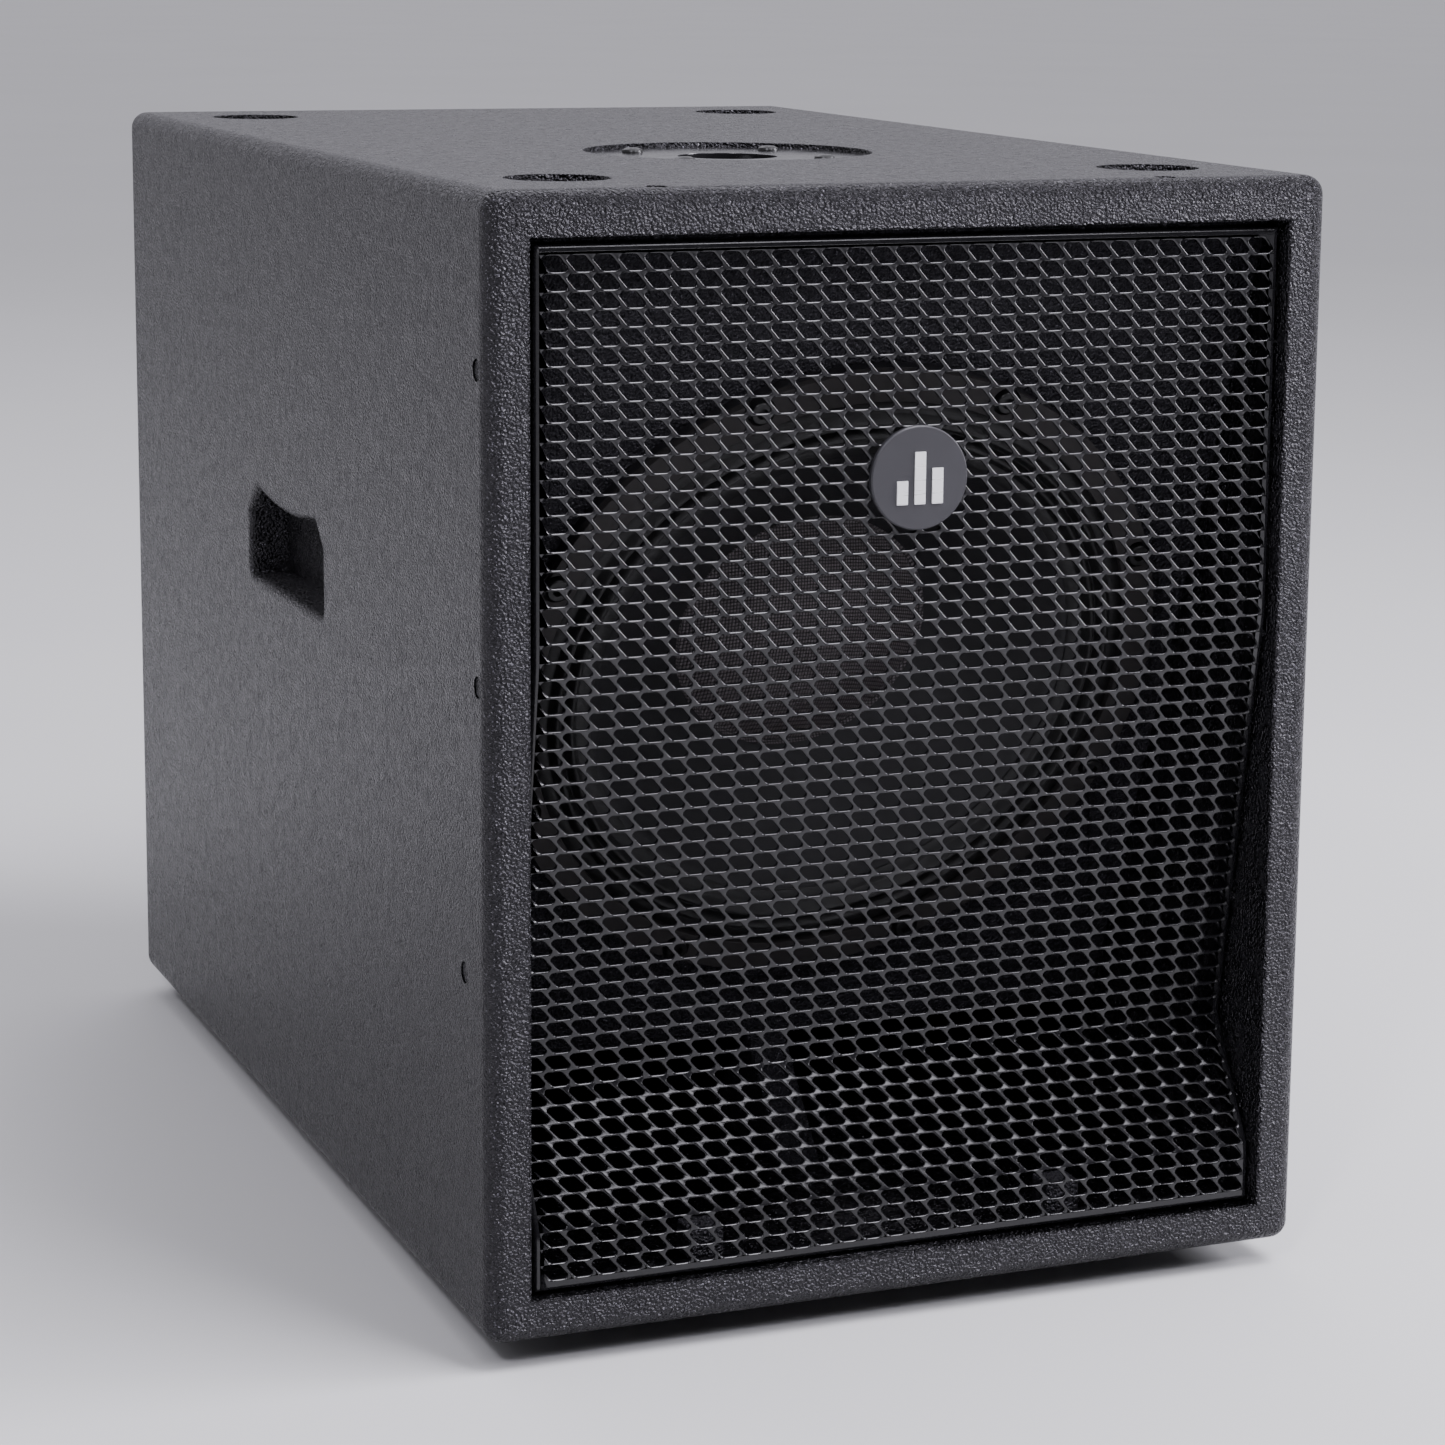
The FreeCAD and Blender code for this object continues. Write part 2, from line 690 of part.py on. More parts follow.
def badge():
    """A plain round badge with three level bars, on the face of the grille."""
    face = size("grille_set_back")
    disc_place = Placement(Vector(0, FRONT + face, BASE + size("badge_height")),
                           Rotation(Vector(1, 0, 0), 90))
    radius, thick, soft = size("badge_radius"), size("badge_thickness"), 0.6
    outline = [(0, 0), (radius, 0), (radius, thick - soft), (radius - soft, thick), (0, thick)]
    outline = [(str(x), str(y)) for x, y in outline]
    keep(turned("badge_disc", outline, disc_place), "badge_disc")
    bars = new_body("badge_bars", disc_place)
    for across, tall in ((-8, 10), (0, 22), (8, 15)):
        pad(bars, "XY_Plane", [rectangle(str(across), "%s/2 - 11" % tall, "5", str(tall))],
            length="0.6", offset="badge_thickness")
    return keep(bars, "badge_bars")


# ---------------------------------------------------------------- top and bottom hardware

def pole_hardware():
    plate = new_body("pole_plate", Placement(Vector(0, POLE_Y, TOP - size(
        "pole_plate_drop + pole_plate_thickness")), Rotation()))
    pad(plate, "XY_Plane", circles=[("0", "0", "pole_plate_radius")], length="pole_plate_thickness")
    pocket(plate, "XY_Plane", circles=[("0", "0", "pole_mouth")], length="4*pole_plate_thickness", both=True)
    holes = [(str(x), str(y - POLE_Y), "2.7") for x, y in POLE_SCREWS]
    pocket(plate, "XY_Plane", circles=holes, length="4*pole_plate_thickness", both=True)
    keep(plate, "pole_plate")
    length, cap, lead = "socket_length", "4", "6.5"
    outline = [("0", "-" + length), ("socket_radius", "-" + length), ("socket_radius", "0"),
               ("pole_mouth", "0"), ("pole_bore", "-" + lead), ("pole_bore", "-(%s - %s)" % (length, cap)),
               ("0", "-(%s - %s)" % (length, cap))]
    keep(turned("pole_socket", outline, plate.Placement), "pole_socket")
    top = TOP - size("pole_plate_drop")
    screw = [(0, -14), (2.5, -14), (2.5, 0), (5, 0), (4.6, 1.4), (3, 2.2), (0, 2.2)]
    fastener_group("pole_plate_screws", screw,
                   [Placement(Vector(x, y, top), Rotation()) for x, y in POLE_SCREWS])


def feet():
    radius, lift = size("foot_radius"), size("foot_lift")
    outline = [(FOOT_SCREW_RADIUS + 0.1, FOOT_COUNTERBORE), (6, FOOT_COUNTERBORE), (6, 0), (radius - 3, 0),
               (radius - 1.5, 1.5), (radius, lift), (FOOT_SCREW_RADIUS + 0.1, lift)]
    places = [Placement(Vector(x, y, 0), Rotation()) for x, y in FOOT_PLACES]
    fastener_group("rubber_feet", outline, places)
    head = FOOT_COUNTERBORE
    screw = [(0, head - 2.6), (3, head - 2.6), (4.6, head - 0.8), (4.6, head), (FOOT_SCREW_RADIUS, head),
             (FOOT_SCREW_RADIUS, lift + 12), (0, lift + 12)]
    fastener_group("foot_screws", screw, places)


# ---------------------------------------------------------------- woofer

def basket():
    outline = [("flange_bore", "0"), ("136", "0"), ("136", "-12"), ("84.5", "-60"), ("84.5", "-62"),
               ("74", "-62"), ("74", "-84"), ("60", "-84"), ("60", "-motor_seat"), ("79", "-motor_seat"),
               ("79", "-67"), ("90", "-67"), ("140.5", "-16"), ("140.5", "0"), ("flange_radius", "0"),
               ("flange_radius", "flange_thickness"), ("flange_bore", "flange_thickness")]
    plain = turned("basket_plain", outline, DRIVER)
    inner, outer, half_angle = 93.0, 133.0, math.radians(20)
    window = [Vector(inner * math.cos(half_angle), -inner * math.sin(half_angle), -70),
              Vector(outer * math.cos(half_angle), -outer * math.sin(half_angle), -70),
              Vector(outer * math.cos(half_angle), outer * math.sin(half_angle), -70),
              Vector(inner * math.cos(half_angle), inner * math.sin(half_angle), -70)]
    prism = Part.Face(Part.makePolygon(window + window[:1])).extrude(Vector(0, 0, 60))
    tools = []
    for i in range(6):
        tool = solid("basket_window_%d" % i, prism)
        tool.Placement = DRIVER.multiply(Placement(Vector(), Rotation(Vector(0, 0, 1), 30 + 60*i)))
        tools.append(tool)
    for i, angle in enumerate(BOLT_ANGLES):
        tools.append(rod("flange_hole_%d" % i, "bolt_radius + 0.3", "20",
                         on_driver(size("bolt_circle"), angle, -5)))
    return keep(cut("woofer_basket", plain, tools), "woofer_basket")


def woofer_gasket():
    body = new_body("woofer_gasket", DRIVER)
    pad(body, "XY_Plane", circles=[("0", "0", "flange_radius"), ("0", "0", "gasket_inner")],
        length="gasket_thickness", offset="flange_thickness")
    relief = []
    for angle in BOLT_ANGLES:
        x, y = (size("bolt_circle") * f(math.radians(angle)) for f in (math.cos, math.sin))
        relief.append((str(x), str(y), "6.4"))
    pocket(body, "XY_Plane", circles=relief, length="30", both=True)
    return keep(body, "woofer_gasket")


def pleated_ring(label, inner, outer, level, pleats, rise, thickness, land_in, land_out, inner_drop=0.0):
    """A thin ring of soft pleats between two flat lands, turned about the driver's axis."""
    steps = 8
    start, end = inner + land_in, outer - land_out
    upper = [(inner, level - inner_drop), (start, level - inner_drop)]
    for i in range(1, pleats * steps):
        share = i / (pleats * steps)
        height = rise * math.sin(math.pi * share * pleats) ** 2
        upper.append((start + share * (end - start), level - inner_drop * (1 - share) + height))
    upper += [(end, level), (outer, level)]
    lower = [(radius, height - thickness) for radius, height in reversed(upper)]
    feature = solid(label, turned_shape(upper + lower))
    feature.Placement = DRIVER
    return keep(feature, label)


def soft_parts():
    lip, flange = size("cone_lip"), size("flange_thickness")
    pleated_ring("woofer_surround", 113.0, 139.0, flange + 1, 2, 5.0, 1.0, 6.6, 6.0, flange - lip)
    pleated_ring("spider", 51.0, 84.3, -60.8, 6, 3.0, 1.2, 3.0, 5.0)


def cone_assembly():
    outline = [("coil_radius + 1", "-cone_neck - 2.5"), ("coil_radius + 2.6", "-cone_neck - 2.5"),
               ("113.5", "cone_lip - 1.6"), ("cone_radius", "cone_lip - 1.6"), ("cone_radius", "cone_lip"),
               ("112.8", "cone_lip"), ("coil_radius + 1", "-cone_neck")]
    keep(turned("woofer_cone", outline, DRIVER), "woofer_cone")
    radius, rise, thick = size("cap_radius"), size("cap_rise"), 1.2
    neck, edge = size("coil_radius + 1"), 112.8
    seat = size("-cone_neck") + (radius - neck) / (edge - neck) * size("cone_lip + cone_neck") + 0.1
    crown = Vector(0, 0, seat + rise)
    rim = Vector(radius, 0, seat)
    middle_share = 0.5
    sphere = (radius**2 + rise**2) / (2 * rise)
    middle_radius = radius * middle_share
    sag = sphere - math.sqrt(sphere**2 - middle_radius**2)
    middle = Vector(middle_radius, 0, seat + rise - sag)
    step = Vector(0, 0, thick)
    edges = [Part.Arc(crown, middle, rim).toShape(), Part.makeLine(rim, rim + step),
             Part.Arc(rim + step, middle + step, crown + step).toShape(), Part.makeLine(crown + step, crown)]
    cap = solid("dust_cap", Part.Face(Part.Wire(edges)).revolve(Vector(), Vector(0, 0, 1), 360))
    cap.Placement = DRIVER
    keep(cap, "dust_cap")
    former = [("coil_radius", "-110"), ("coil_radius + 1", "-110"), ("coil_radius + 1", "-cone_neck"),
              ("coil_radius", "-cone_neck")]
    keep(turned("coil_former", former, DRIVER), "coil_former")
    gap = "-(motor_seat + top_plate_thickness/2)"
    winding = [("coil_radius + 1", gap + " - 12"), ("coil_radius + 2.4", gap + " - 12"),
               ("coil_radius + 2.4", gap + " + 12"), ("coil_radius + 1", gap + " + 12")]
    keep(turned("voice_coil", winding, DRIVER), "voice_coil")


def motor():
    seat, under = "-motor_seat", "-(motor_seat + top_plate_thickness)"
    back = "-(motor_seat + top_plate_thickness + magnet_thickness)"
    end = "-(motor_seat + top_plate_thickness + magnet_thickness + yoke_thickness)"
    top_plate = [("coil_radius + 3.4", under), ("motor_radius - 2", under), ("motor_radius - 2", seat),
                 ("coil_radius + 3.4", seat)]
    keep(turned("motor_top_plate", top_plate, DRIVER), "motor_top_plate")
    magnet = [("coil_radius + 10", back), ("motor_radius", back), ("motor_radius", under),
              ("coil_radius + 10", under)]
    keep(turned("motor_magnet", magnet, DRIVER), "motor_magnet")
    yoke = [("12", end), ("motor_radius - 2", end), ("motor_radius - 2", back), ("coil_radius - 1.2", back),
            ("coil_radius - 1.2", seat + " + 1"), ("12", seat + " + 1")]
    keep(turned("motor_yoke", yoke, DRIVER), "motor_yoke")


def woofer_terminal():
    body = new_body("woofer_terminal", DRIVER)
    pad(body, "XY_Plane", [rectangle("0", "85", "34", "12")], length="14", offset="-83")
    pad(body, "XY_Plane", circles=[("-9", "86", "3"), ("9", "86", "3")], length="8", offset="-91")
    return keep(body, "woofer_terminal")


def woofer_bolts():
    places = [on_driver(size("bolt_circle"), angle, size("flange_thickness")) for angle in BOLT_ANGLES]
    r = BOLT_RADIUS
    head = [(0, -26), (r, -26), (r, 0), (5, 0), (5, 5.5), (4.5, 6), (2.5, 6), (2.5, 3), (0, 3)]
    fastener_group("woofer_bolts", head, places)
    nut = [(r, -25), (10, -25), (10, -23), (r + 1, -23), (r + 1, -13), (r, -13)]
    fastener_group("woofer_tee_nuts", nut, places)


# ---------------------------------------------------------------- amplifier

PLATE_IN = "amp_gasket_thickness"
PLATE_OUT = "amp_gasket_thickness + amp_plate_thickness"
INPUT_AT = (-90.0, -62.0)
OUTPUT_AT = (-90.0, -114.0)
LEVEL_AT = (-30.0, -62.0)
CROSSOVER_AT = (-30.0, -114.0)
BUTTON_AT = (18.0, -62.0)
LAMPS_AT = [(18.0, -96.0), (18.0, -108.0), (18.0, -120.0)]
MAINS_AT = (78.0, -62.0)
SWITCH_AT = (78.0, -114.0)
XLR_SCREWS = [(-9.5, 12.0), (9.5, -12.0)]
MAINS_SCREWS = [(-20.0, 0.0), (20.0, 0.0)]
SMALL_SCREW = 1.5
XLR_BARREL = 11.8


def text_pair(point):
    return str(point[0]), str(point[1])


def small_screw_points():
    points = []
    for socket in (INPUT_AT, OUTPUT_AT):
        points += [(socket[0] + dx, socket[1] + dy) for dx, dy in XLR_SCREWS]
    points += [(MAINS_AT[0] + dx, MAINS_AT[1] + dy) for dx, dy in MAINS_SCREWS]
    return points


def amp_plate():
    body = new_body("amp_plate", AMP)
    pad(body, "XY_Plane", [rectangle("0", "0", "amp_width", "amp_height")],
        length="amp_plate_thickness", offset=PLATE_IN)
    round_holes = [text_pair(p) + (str(XLR_BARREL + 0.2),) for p in (INPUT_AT, OUTPUT_AT)]
    round_holes += [text_pair(p) + ("3.7",) for p in (LEVEL_AT, CROSSOVER_AT)]
    round_holes += [text_pair(BUTTON_AT) + ("6.2",)]
    round_holes += [text_pair(p) + ("2.6",) for p in LAMPS_AT]
    round_holes += [text_pair(p) + ("2.2",) for p in AMP_SCREWS]
    round_holes += [text_pair(p) + ("1.6",) for p in small_screw_points()]
    pocket(body, "XY_Plane", circles=round_holes, length="40", both=True)
    pocket(body, "XY_Plane", [rectangle(*text_pair(MAINS_AT), "28", "21"),
                              rectangle(*text_pair(SWITCH_AT), "17", "31")], length="40", both=True)
    keep(body, "amp_plate")
    seal = new_body("amp_gasket", AMP)
    pad(seal, "XY_Plane", [rectangle("0", "0", "amp_width", "amp_height"),
                           rectangle("0", "0", "amp_box_width + 4", "amp_box_height + 4")],
        length="amp_gasket_thickness")
    pocket(seal, "XY_Plane", circles=[text_pair(p) + ("2.2",) for p in AMP_SCREWS], length="9", both=True)
    keep(seal, "amp_gasket")


def heat_sink():
    body = new_body("heat_sink", AMP)
    width, low, tall, base = 210.0, 0.0, 146.0, 4.0
    middle = low + tall / 2
    pad(body, "XY_Plane", [rectangle("0", str(middle), str(width), str(tall))], length=str(base),
        offset=PLATE_OUT)
    count = int(size("fin_count"))
    step = (width - 2.4) / (count - 1)
    fins = [rectangle(str((i - (count - 1)/2) * step), str(middle), "2.4", str(tall)) for i in range(count)]
    pad(body, "XY_Plane", fins, length="fin_height", offset=PLATE_OUT + " + %s" % base)
    return keep(body, "heat_sink")


def amp_box():
    body = new_body("amp_box", AMP)
    pad(body, "XY_Plane", [rectangle("0", "0", "amp_box_width", "amp_box_height")],
        length="amp_box_depth + amp_gasket_thickness", offset="-amp_box_depth")
    pocket(body, "XY_Plane", [rectangle("0", "0", "amp_box_width - 2*amp_box_wall",
                                        "amp_box_height - 2*amp_box_wall")],
           length="2*amp_box_depth", offset="amp_box_wall - amp_box_depth", upward=True)
    pocket(body, "XY_Plane", circles=[("-40", "60", "7")], length="20", offset="-amp_box_depth", both=True)
    return keep(body, "amp_box")


def amp_inside():
    board = new_body("amp_board", AMP)
    pad(board, "XY_Plane", [rectangle("0", "72", "190", "124")], length="1.6", offset="-24")
    capacitors = [(str(x), "105", "15") for x in (-70, -35, 0, 35)]
    pad(board, "XY_Plane", circles=capacitors, length="40", offset="-64")
    keep(board, "amp_board")
    corners = [(sx * 86.0, 72 + sy * 52.0) for sx, sy in CORNERS]
    post = [(0, -22.4), (3, -22.4), (3, size(PLATE_IN)), (0, size(PLATE_IN))]
    fastener_group("board_posts", post, [on_amp(x, y) for x, y in corners])
    rear = size("amp_box_wall - amp_box_depth")
    ring = [(20, rear), (52, rear), (55, rear + 4), (55, rear + 36), (52, rear + 40), (20, rear + 40)]
    place_low = on_amp(0, -75)
    transformer = solid("mains_transformer", turned_shape(ring))
    transformer.Placement = place_low
    keep(transformer, "mains_transformer")
    clamp = [(0, rear), (4, rear), (4, rear + 40), (28, rear + 40), (28, rear + 42), (6, rear + 42),
             (6, rear + 47), (0, rear + 47)]
    bolt = solid("transformer_clamp", turned_shape(clamp))
    bolt.Placement = place_low
    keep(bolt, "transformer_clamp")
    grommet = [(4.6, -size("amp_box_depth") - 2.5), (9, -size("amp_box_depth") - 2.5),
               (9, -size("amp_box_depth")), (6.8, -size("amp_box_depth")),
               (6.8, -size("amp_box_depth") + 1.5), (9, -size("amp_box_depth") + 1.5),
               (9, -size("amp_box_depth") + 4), (4.6, -size("amp_box_depth") + 4)]
    ring_seal = solid("wire_grommet", turned_shape(grommet))
    ring_seal.Placement = on_amp(-40, 60)
    keep(ring_seal, "wire_grommet")


def box_shape(x, y, low, width, height, thick):
    """A block in the amplifier's frame, about a middle point and from a low level."""
    block = Part.makeBox(width, height, thick, Vector(x - width/2, y - height/2, low))
    block.Placement = AMP
    return block


def xlr_socket(label, at, female):
    body = new_body(label, on_amp(*at))
    flange = rectangle("0", "0", "26", "31")
    pad(body, "XY_Plane", [flange], length="2", offset=PLATE_OUT)
    pad(body, "XY_Plane", circles=[("0", "0", str(XLR_BARREL))], length=PLATE_OUT + " + 20", offset="-20")
    pocket(body, "XY_Plane", circles=[("0", "0", "9.7")], length="60", offset="-10", upward=True)
    holes = [text_pair(p) + ("1.6",) for p in XLR_SCREWS]
    pocket(body, "XY_Plane", circles=holes, length="30", both=True)
    contacts = [("3.6", "0"), ("-3.6", "0"), ("0", "-3.6" if female else "3.6")]
    if female:
        pad(body, "XY_Plane", circles=[("0", "0", "7.4")] + [c + ("1.3",) for c in contacts],
            length="13", offset="-10")
        pocket(body, "XY_Plane", [rectangle("0", "9.1", "6.2", "3.8")], length="40", offset="-2", upward=True)
    else:
        pad(body, "XY_Plane", circles=[c + ("1.2",) for c in contacts], length="14", offset="-10.2")
    return keep(body, label)


def xlr_latch():
    """The thumb tab that lets a plug go; it slides into the socket's flange."""
    body = new_body("xlr_latch", on_amp(*INPUT_AT))
    pad(body, "XY_Plane", [rectangle("0", "9.1", "5.4", "3")], length="8.5", offset="1")
    return keep(body, "xlr_latch")


def control(label, at):
    """A ribbed knob on a shaft; the shaft turns in the bush of the potentiometer below."""
    body = new_body(label, on_amp(*at))
    low, high = PLATE_OUT + " + 1", PLATE_OUT + " + 14"
    pad(body, "XY_Plane", circles=[("0", "0", "8")], length="13", offset=low)
    pocket(body, "XY_Plane", circles=[("0", "0", "5.2")], length="7.5", offset=low, upward=True)
    pad(body, "XY_Plane", circles=[("0", "0", "3")], length="%s - (-3)" % high, offset="-3")
    grip = []
    for i in range(12):
        angle = math.radians(30 * i)
        grip.append((str(8.6 * math.cos(angle)), str(8.6 * math.sin(angle)), "1.2"))
    pocket(body, "XY_Plane", circles=grip, length="20", offset=low + " + 3", upward=True)
    pocket(body, "XY_Plane", [rectangle("0", "4.6", "1.2", "6")], length="3", offset=high + " - 0.8",
           upward=True)
    return keep(body, label)


def potentiometers():
    pots = []
    for index, at in enumerate((LEVEL_AT, CROSSOVER_AT)):
        case = box_shape(at[0], at[1], -8, 16, 16, 8 + size(PLATE_IN))
        bush = Part.makeCylinder(3.6, 7, Vector(0, 0, size(PLATE_IN)))
        nut = Part.makeCylinder(4.9, 1.6, Vector(0, 0, size(PLATE_OUT)))
        bore = Part.makeCylinder(3.08, 20, Vector(0, 0, -4))
        for part in (bush, nut, bore):
            part.Placement = on_amp(*at)
        pots.append(case.fuse(bush).fuse(nut).cut(bore).removeSplitter())
    return keep(solid("potentiometers", Part.makeCompound(pots)), "potentiometers")


def polarity_button():
    body = new_body("polarity_button", on_amp(*BUTTON_AT))
    pad(body, "XY_Plane", circles=[("0", "0", "4")], length="13", offset="-3")
    keep(body, "polarity_button")
    switch = new_body("polarity_switch", on_amp(*BUTTON_AT))
    pad(switch, "XY_Plane", [rectangle("0", "0", "14", "14")], length="10 + amp_gasket_thickness",
        offset="-10")
    pad(switch, "XY_Plane", circles=[("0", "0", "6")], length="amp_plate_thickness", offset=PLATE_IN)
    pad(switch, "XY_Plane", circles=[("0", "0", "7.5")], length="1.5", offset=PLATE_OUT)
    pocket(switch, "XY_Plane", circles=[("0", "0", "4.08")], length="30", offset="-7", upward=True)
    keep(switch, "polarity_switch")


def status_lamps():
    outline = [(0, -4), (2.5, -4), (2.5, size(PLATE_OUT)), (2.2, size(PLATE_OUT) + 1.2),
               (1.2, size(PLATE_OUT) + 2.1), (0, size(PLATE_OUT) + 2.4)]
    return fastener_group("status_lamps", outline, [on_amp(*at) for at in LAMPS_AT])


def mains_inlet():
    body = new_body("mains_inlet", on_amp(*MAINS_AT))
    pad(body, "XY_Plane", [rectangle("0", "0", "50", "28")], length="2.5", offset=PLATE_OUT)
    pad(body, "XY_Plane", [rectangle("0", "0", "27.6", "20.6")], length=PLATE_OUT + " + 22", offset="-22")
    pocket(body, "XY_Plane", [rectangle("0", "0", "24.4", "16.6")], length="40", offset="-12", upward=True)
    pocket(body, "XY_Plane", circles=[text_pair(p) + ("1.6",) for p in MAINS_SCREWS], length="40",
           both=True)
    blades = [rectangle("-7", "2", "2", "4"), rectangle("0", "4", "2", "4"), rectangle("7", "2", "2", "4")]
    pad(body, "XY_Plane", blades, length="15", offset="-12.2")
    return keep(body, "mains_inlet")


def power_switch():
    frame = new_body("switch_frame", on_amp(*SWITCH_AT))
    pad(frame, "XY_Plane", [rectangle("0", "0", "20", "34")], length="1.6", offset=PLATE_OUT)
    pad(frame, "XY_Plane", [rectangle("0", "0", "16.6", "30.6")], length=PLATE_OUT + " + 16", offset="-16")
    pocket(frame, "XY_Plane", [rectangle("0", "0", "13.6", "28.4")], length="40", offset="-8", upward=True)
    pivot_level = size(PLATE_OUT) - 2.0
    bearing = rod("rocker_bearing", "1.55", "16.4",
                  on_amp(SWITCH_AT[0] - 8.2, SWITCH_AT[1], pivot_level).multiply(
                      Placement(Vector(), Rotation(Vector(0, 1, 0), 90))))
    keep(cut("power_switch_frame", frame, [bearing]), "power_switch_frame")
    rock = Rotation(Vector(1, 0, 0), -8)
    pivot = on_amp(SWITCH_AT[0], SWITCH_AT[1], pivot_level).multiply(Placement(Vector(), rock))
    rocker = new_body("power_rocker", pivot)
    paddle = [("-12.6", "-3"), ("12.6", "-3"), ("13", "5.4"), ("0", "3.6"), ("-13", "5.4")]
    pad(rocker, "YZ_Plane", [paddle], length="12.8", both=True)
    pad(rocker, "YZ_Plane", circles=[("0", "0", "1.5")], length="15.8", both=True)
    return keep(rocker, "power_rocker")


def amp_screws():
    """Eight plate screws, and the small screws that hold the sockets and the mains inlet."""
    out, shank = size(PLATE_OUT), AMP_SCREW_RADIUS - 0.1
    large = [(0, -12), (shank, -12), (shank, out), (4, out), (3.7, out + 1.6), (2.4, out + 2.4), (0, out + 2.4)]
    small = [(0, -6), (SMALL_SCREW, -6), (SMALL_SCREW, out), (2.8, out), (2.5, out + 1.2), (0, out + 1.6)]
    points = small_screw_points()
    socket_screws, inlet_screws = points[:-2], points[-2:]
    screws = turned_copies(large, [on_amp(x, y) for x, y in AMP_SCREWS])
    screws += turned_copies(small, [on_amp(x, y, 2.0) for x, y in socket_screws])
    screws += turned_copies(small, [on_amp(x, y, 2.5) for x, y in inlet_screws])
    return keep(solid("amp_screws", Part.makeCompound(screws)), "amp_screws")


# ---------------------------------------------------------------- wiring and lining

def bent_tube(points, radius):
    """A round wire along straight runs, each corner rounded with a tangent arc."""
    edges = []
    start = points[0]
    for before, corner, after in zip(points, points[1:], points[2:]):
        arrive, leave = (before - corner), (after - corner)
        shorter = min(arrive.Length, leave.Length)
        arrive.normalize()
        leave.normalize()
        turn = math.pi - math.acos(max(-1.0, min(1.0, arrive.dot(leave))))
        trim = 0.45 * shorter
        bend = trim / math.tan(turn / 2)
        first, last = corner + arrive * trim, corner + leave * trim
        inward = (arrive + leave).normalize()
        middle = corner + inward * (math.hypot(bend, trim) - bend)
        edges.append(Part.LineSegment(start, first).toShape())
        edges.append(Part.Arc(first, middle, last).toShape())
        print("wire bend radius %.1f mm" % bend)
        start = last
    edges.append(Part.LineSegment(start, points[-1]).toShape())
    path = Part.Wire(edges)
    direction = (points[1] - points[0]).normalize()
    section = Part.Wire([Part.Circle(points[0], direction, radius).toShape()])
    tube = path.makePipeShell([section], True, False)
    expected = math.pi * radius**2 * path.Length
    if abs(tube.Volume - expected) > 0.01 * expected:
        raise RuntimeError("the wire's volume is wrong")
    print("wire length %.0f mm" % path.Length)
    return tube


def speaker_wires():
    """Two wires from the amplifier's grommet, through the brace, to the woofer's terminals."""
    radius = 2.0
    for label, side in (("speaker_wire_red", -1), ("speaker_wire_black", 1)):
        start = DRIVER.multVec(Vector(9 * side, 86, -91))
        behind = DRIVER.multVec(Vector(9 * side, 86, -122))
        wall = on_amp(-40 - 2.3 * side, 60, -size("amp_box_depth") + 3).Base
        points = [start, behind, Vector(9 * side + 1, -92, 389), Vector(9 * side + 5, -42, 372),
                  Vector(9 * side + 12, 18, 352), Vector(32 + 4 * side, 82, 338),
                  Vector(wall.x, 140, wall.z), wall]
        keep(solid(label, bent_tube(points, radius)), label)


def acoustic_foam():
    """Two slabs of open-cell foam: one under the top, one on the shelf."""
    upper = box("foam_upper", "300", "150", "25", "-150", "-35", "foot_lift + cab_height - panel - 25")
    lower = box("foam_lower", "300", "140", "25", "-150", "-35", "foot_lift + shelf_under + shelf_thickness")
    return keep(gather("acoustic_foam", [upper, lower]), "acoustic_foam")


# ---------------------------------------------------------------- build, check and write

def build():
    shell = rounded_shell()
    side_panel("left_side_panel", shell, -1)
    side_panel("right_side_panel", shell, 1)
    top_panel(shell)
    bottom_panel(shell)
    rear_panel()
    baffle()
    port_shelf()
    port_divider()
    brace_panel()
    handle_pocket("left_handle_pocket", -1)
    handle_pocket("right_handle_pocket", 1)
    slot_blocks()
    grille()
    grille_screws()
    badge()
    pole_hardware()
    feet()
    basket()
    woofer_gasket()
    soft_parts()
    cone_assembly()
    motor()
    woofer_terminal()
    woofer_bolts()
    amp_plate()
    heat_sink()
    amp_box()
    amp_inside()
    xlr_socket("xlr_input", INPUT_AT, True)
    xlr_socket("xlr_output", OUTPUT_AT, False)
    xlr_latch()
    control("level_knob", LEVEL_AT)
    control("crossover_knob", CROSSOVER_AT)
    potentiometers()
    polarity_button()
    status_lamps()
    mains_inlet()
    power_switch()
    amp_screws()
    speaker_wires()
    acoustic_foam()


def check():
    for obj in doc.Objects:
        if "Invalid" in obj.State or "Error" in obj.State:
            raise RuntimeError("%s is in state %s" % (obj.Label, obj.State))
    for node in NODES:
        if node.Shape.isNull() or not node.Shape.isValid() or not node.Shape.Solids:
            raise RuntimeError("%s has no valid solid" % node.Label)


def write():
    os.makedirs("parts", exist_ok=True)
    for node in NODES:
        node.Shape.exportStep("parts/%s.step" % node.Label)
        print("%-24s %2d solids %10.0f mm3" % (node.Label, len(node.Shape.Solids), node.Shape.Volume))


build()
doc.recompute()
check()
write()
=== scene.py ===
import json
import math

import bmesh
import bpy
from mathutils import Matrix, Vector


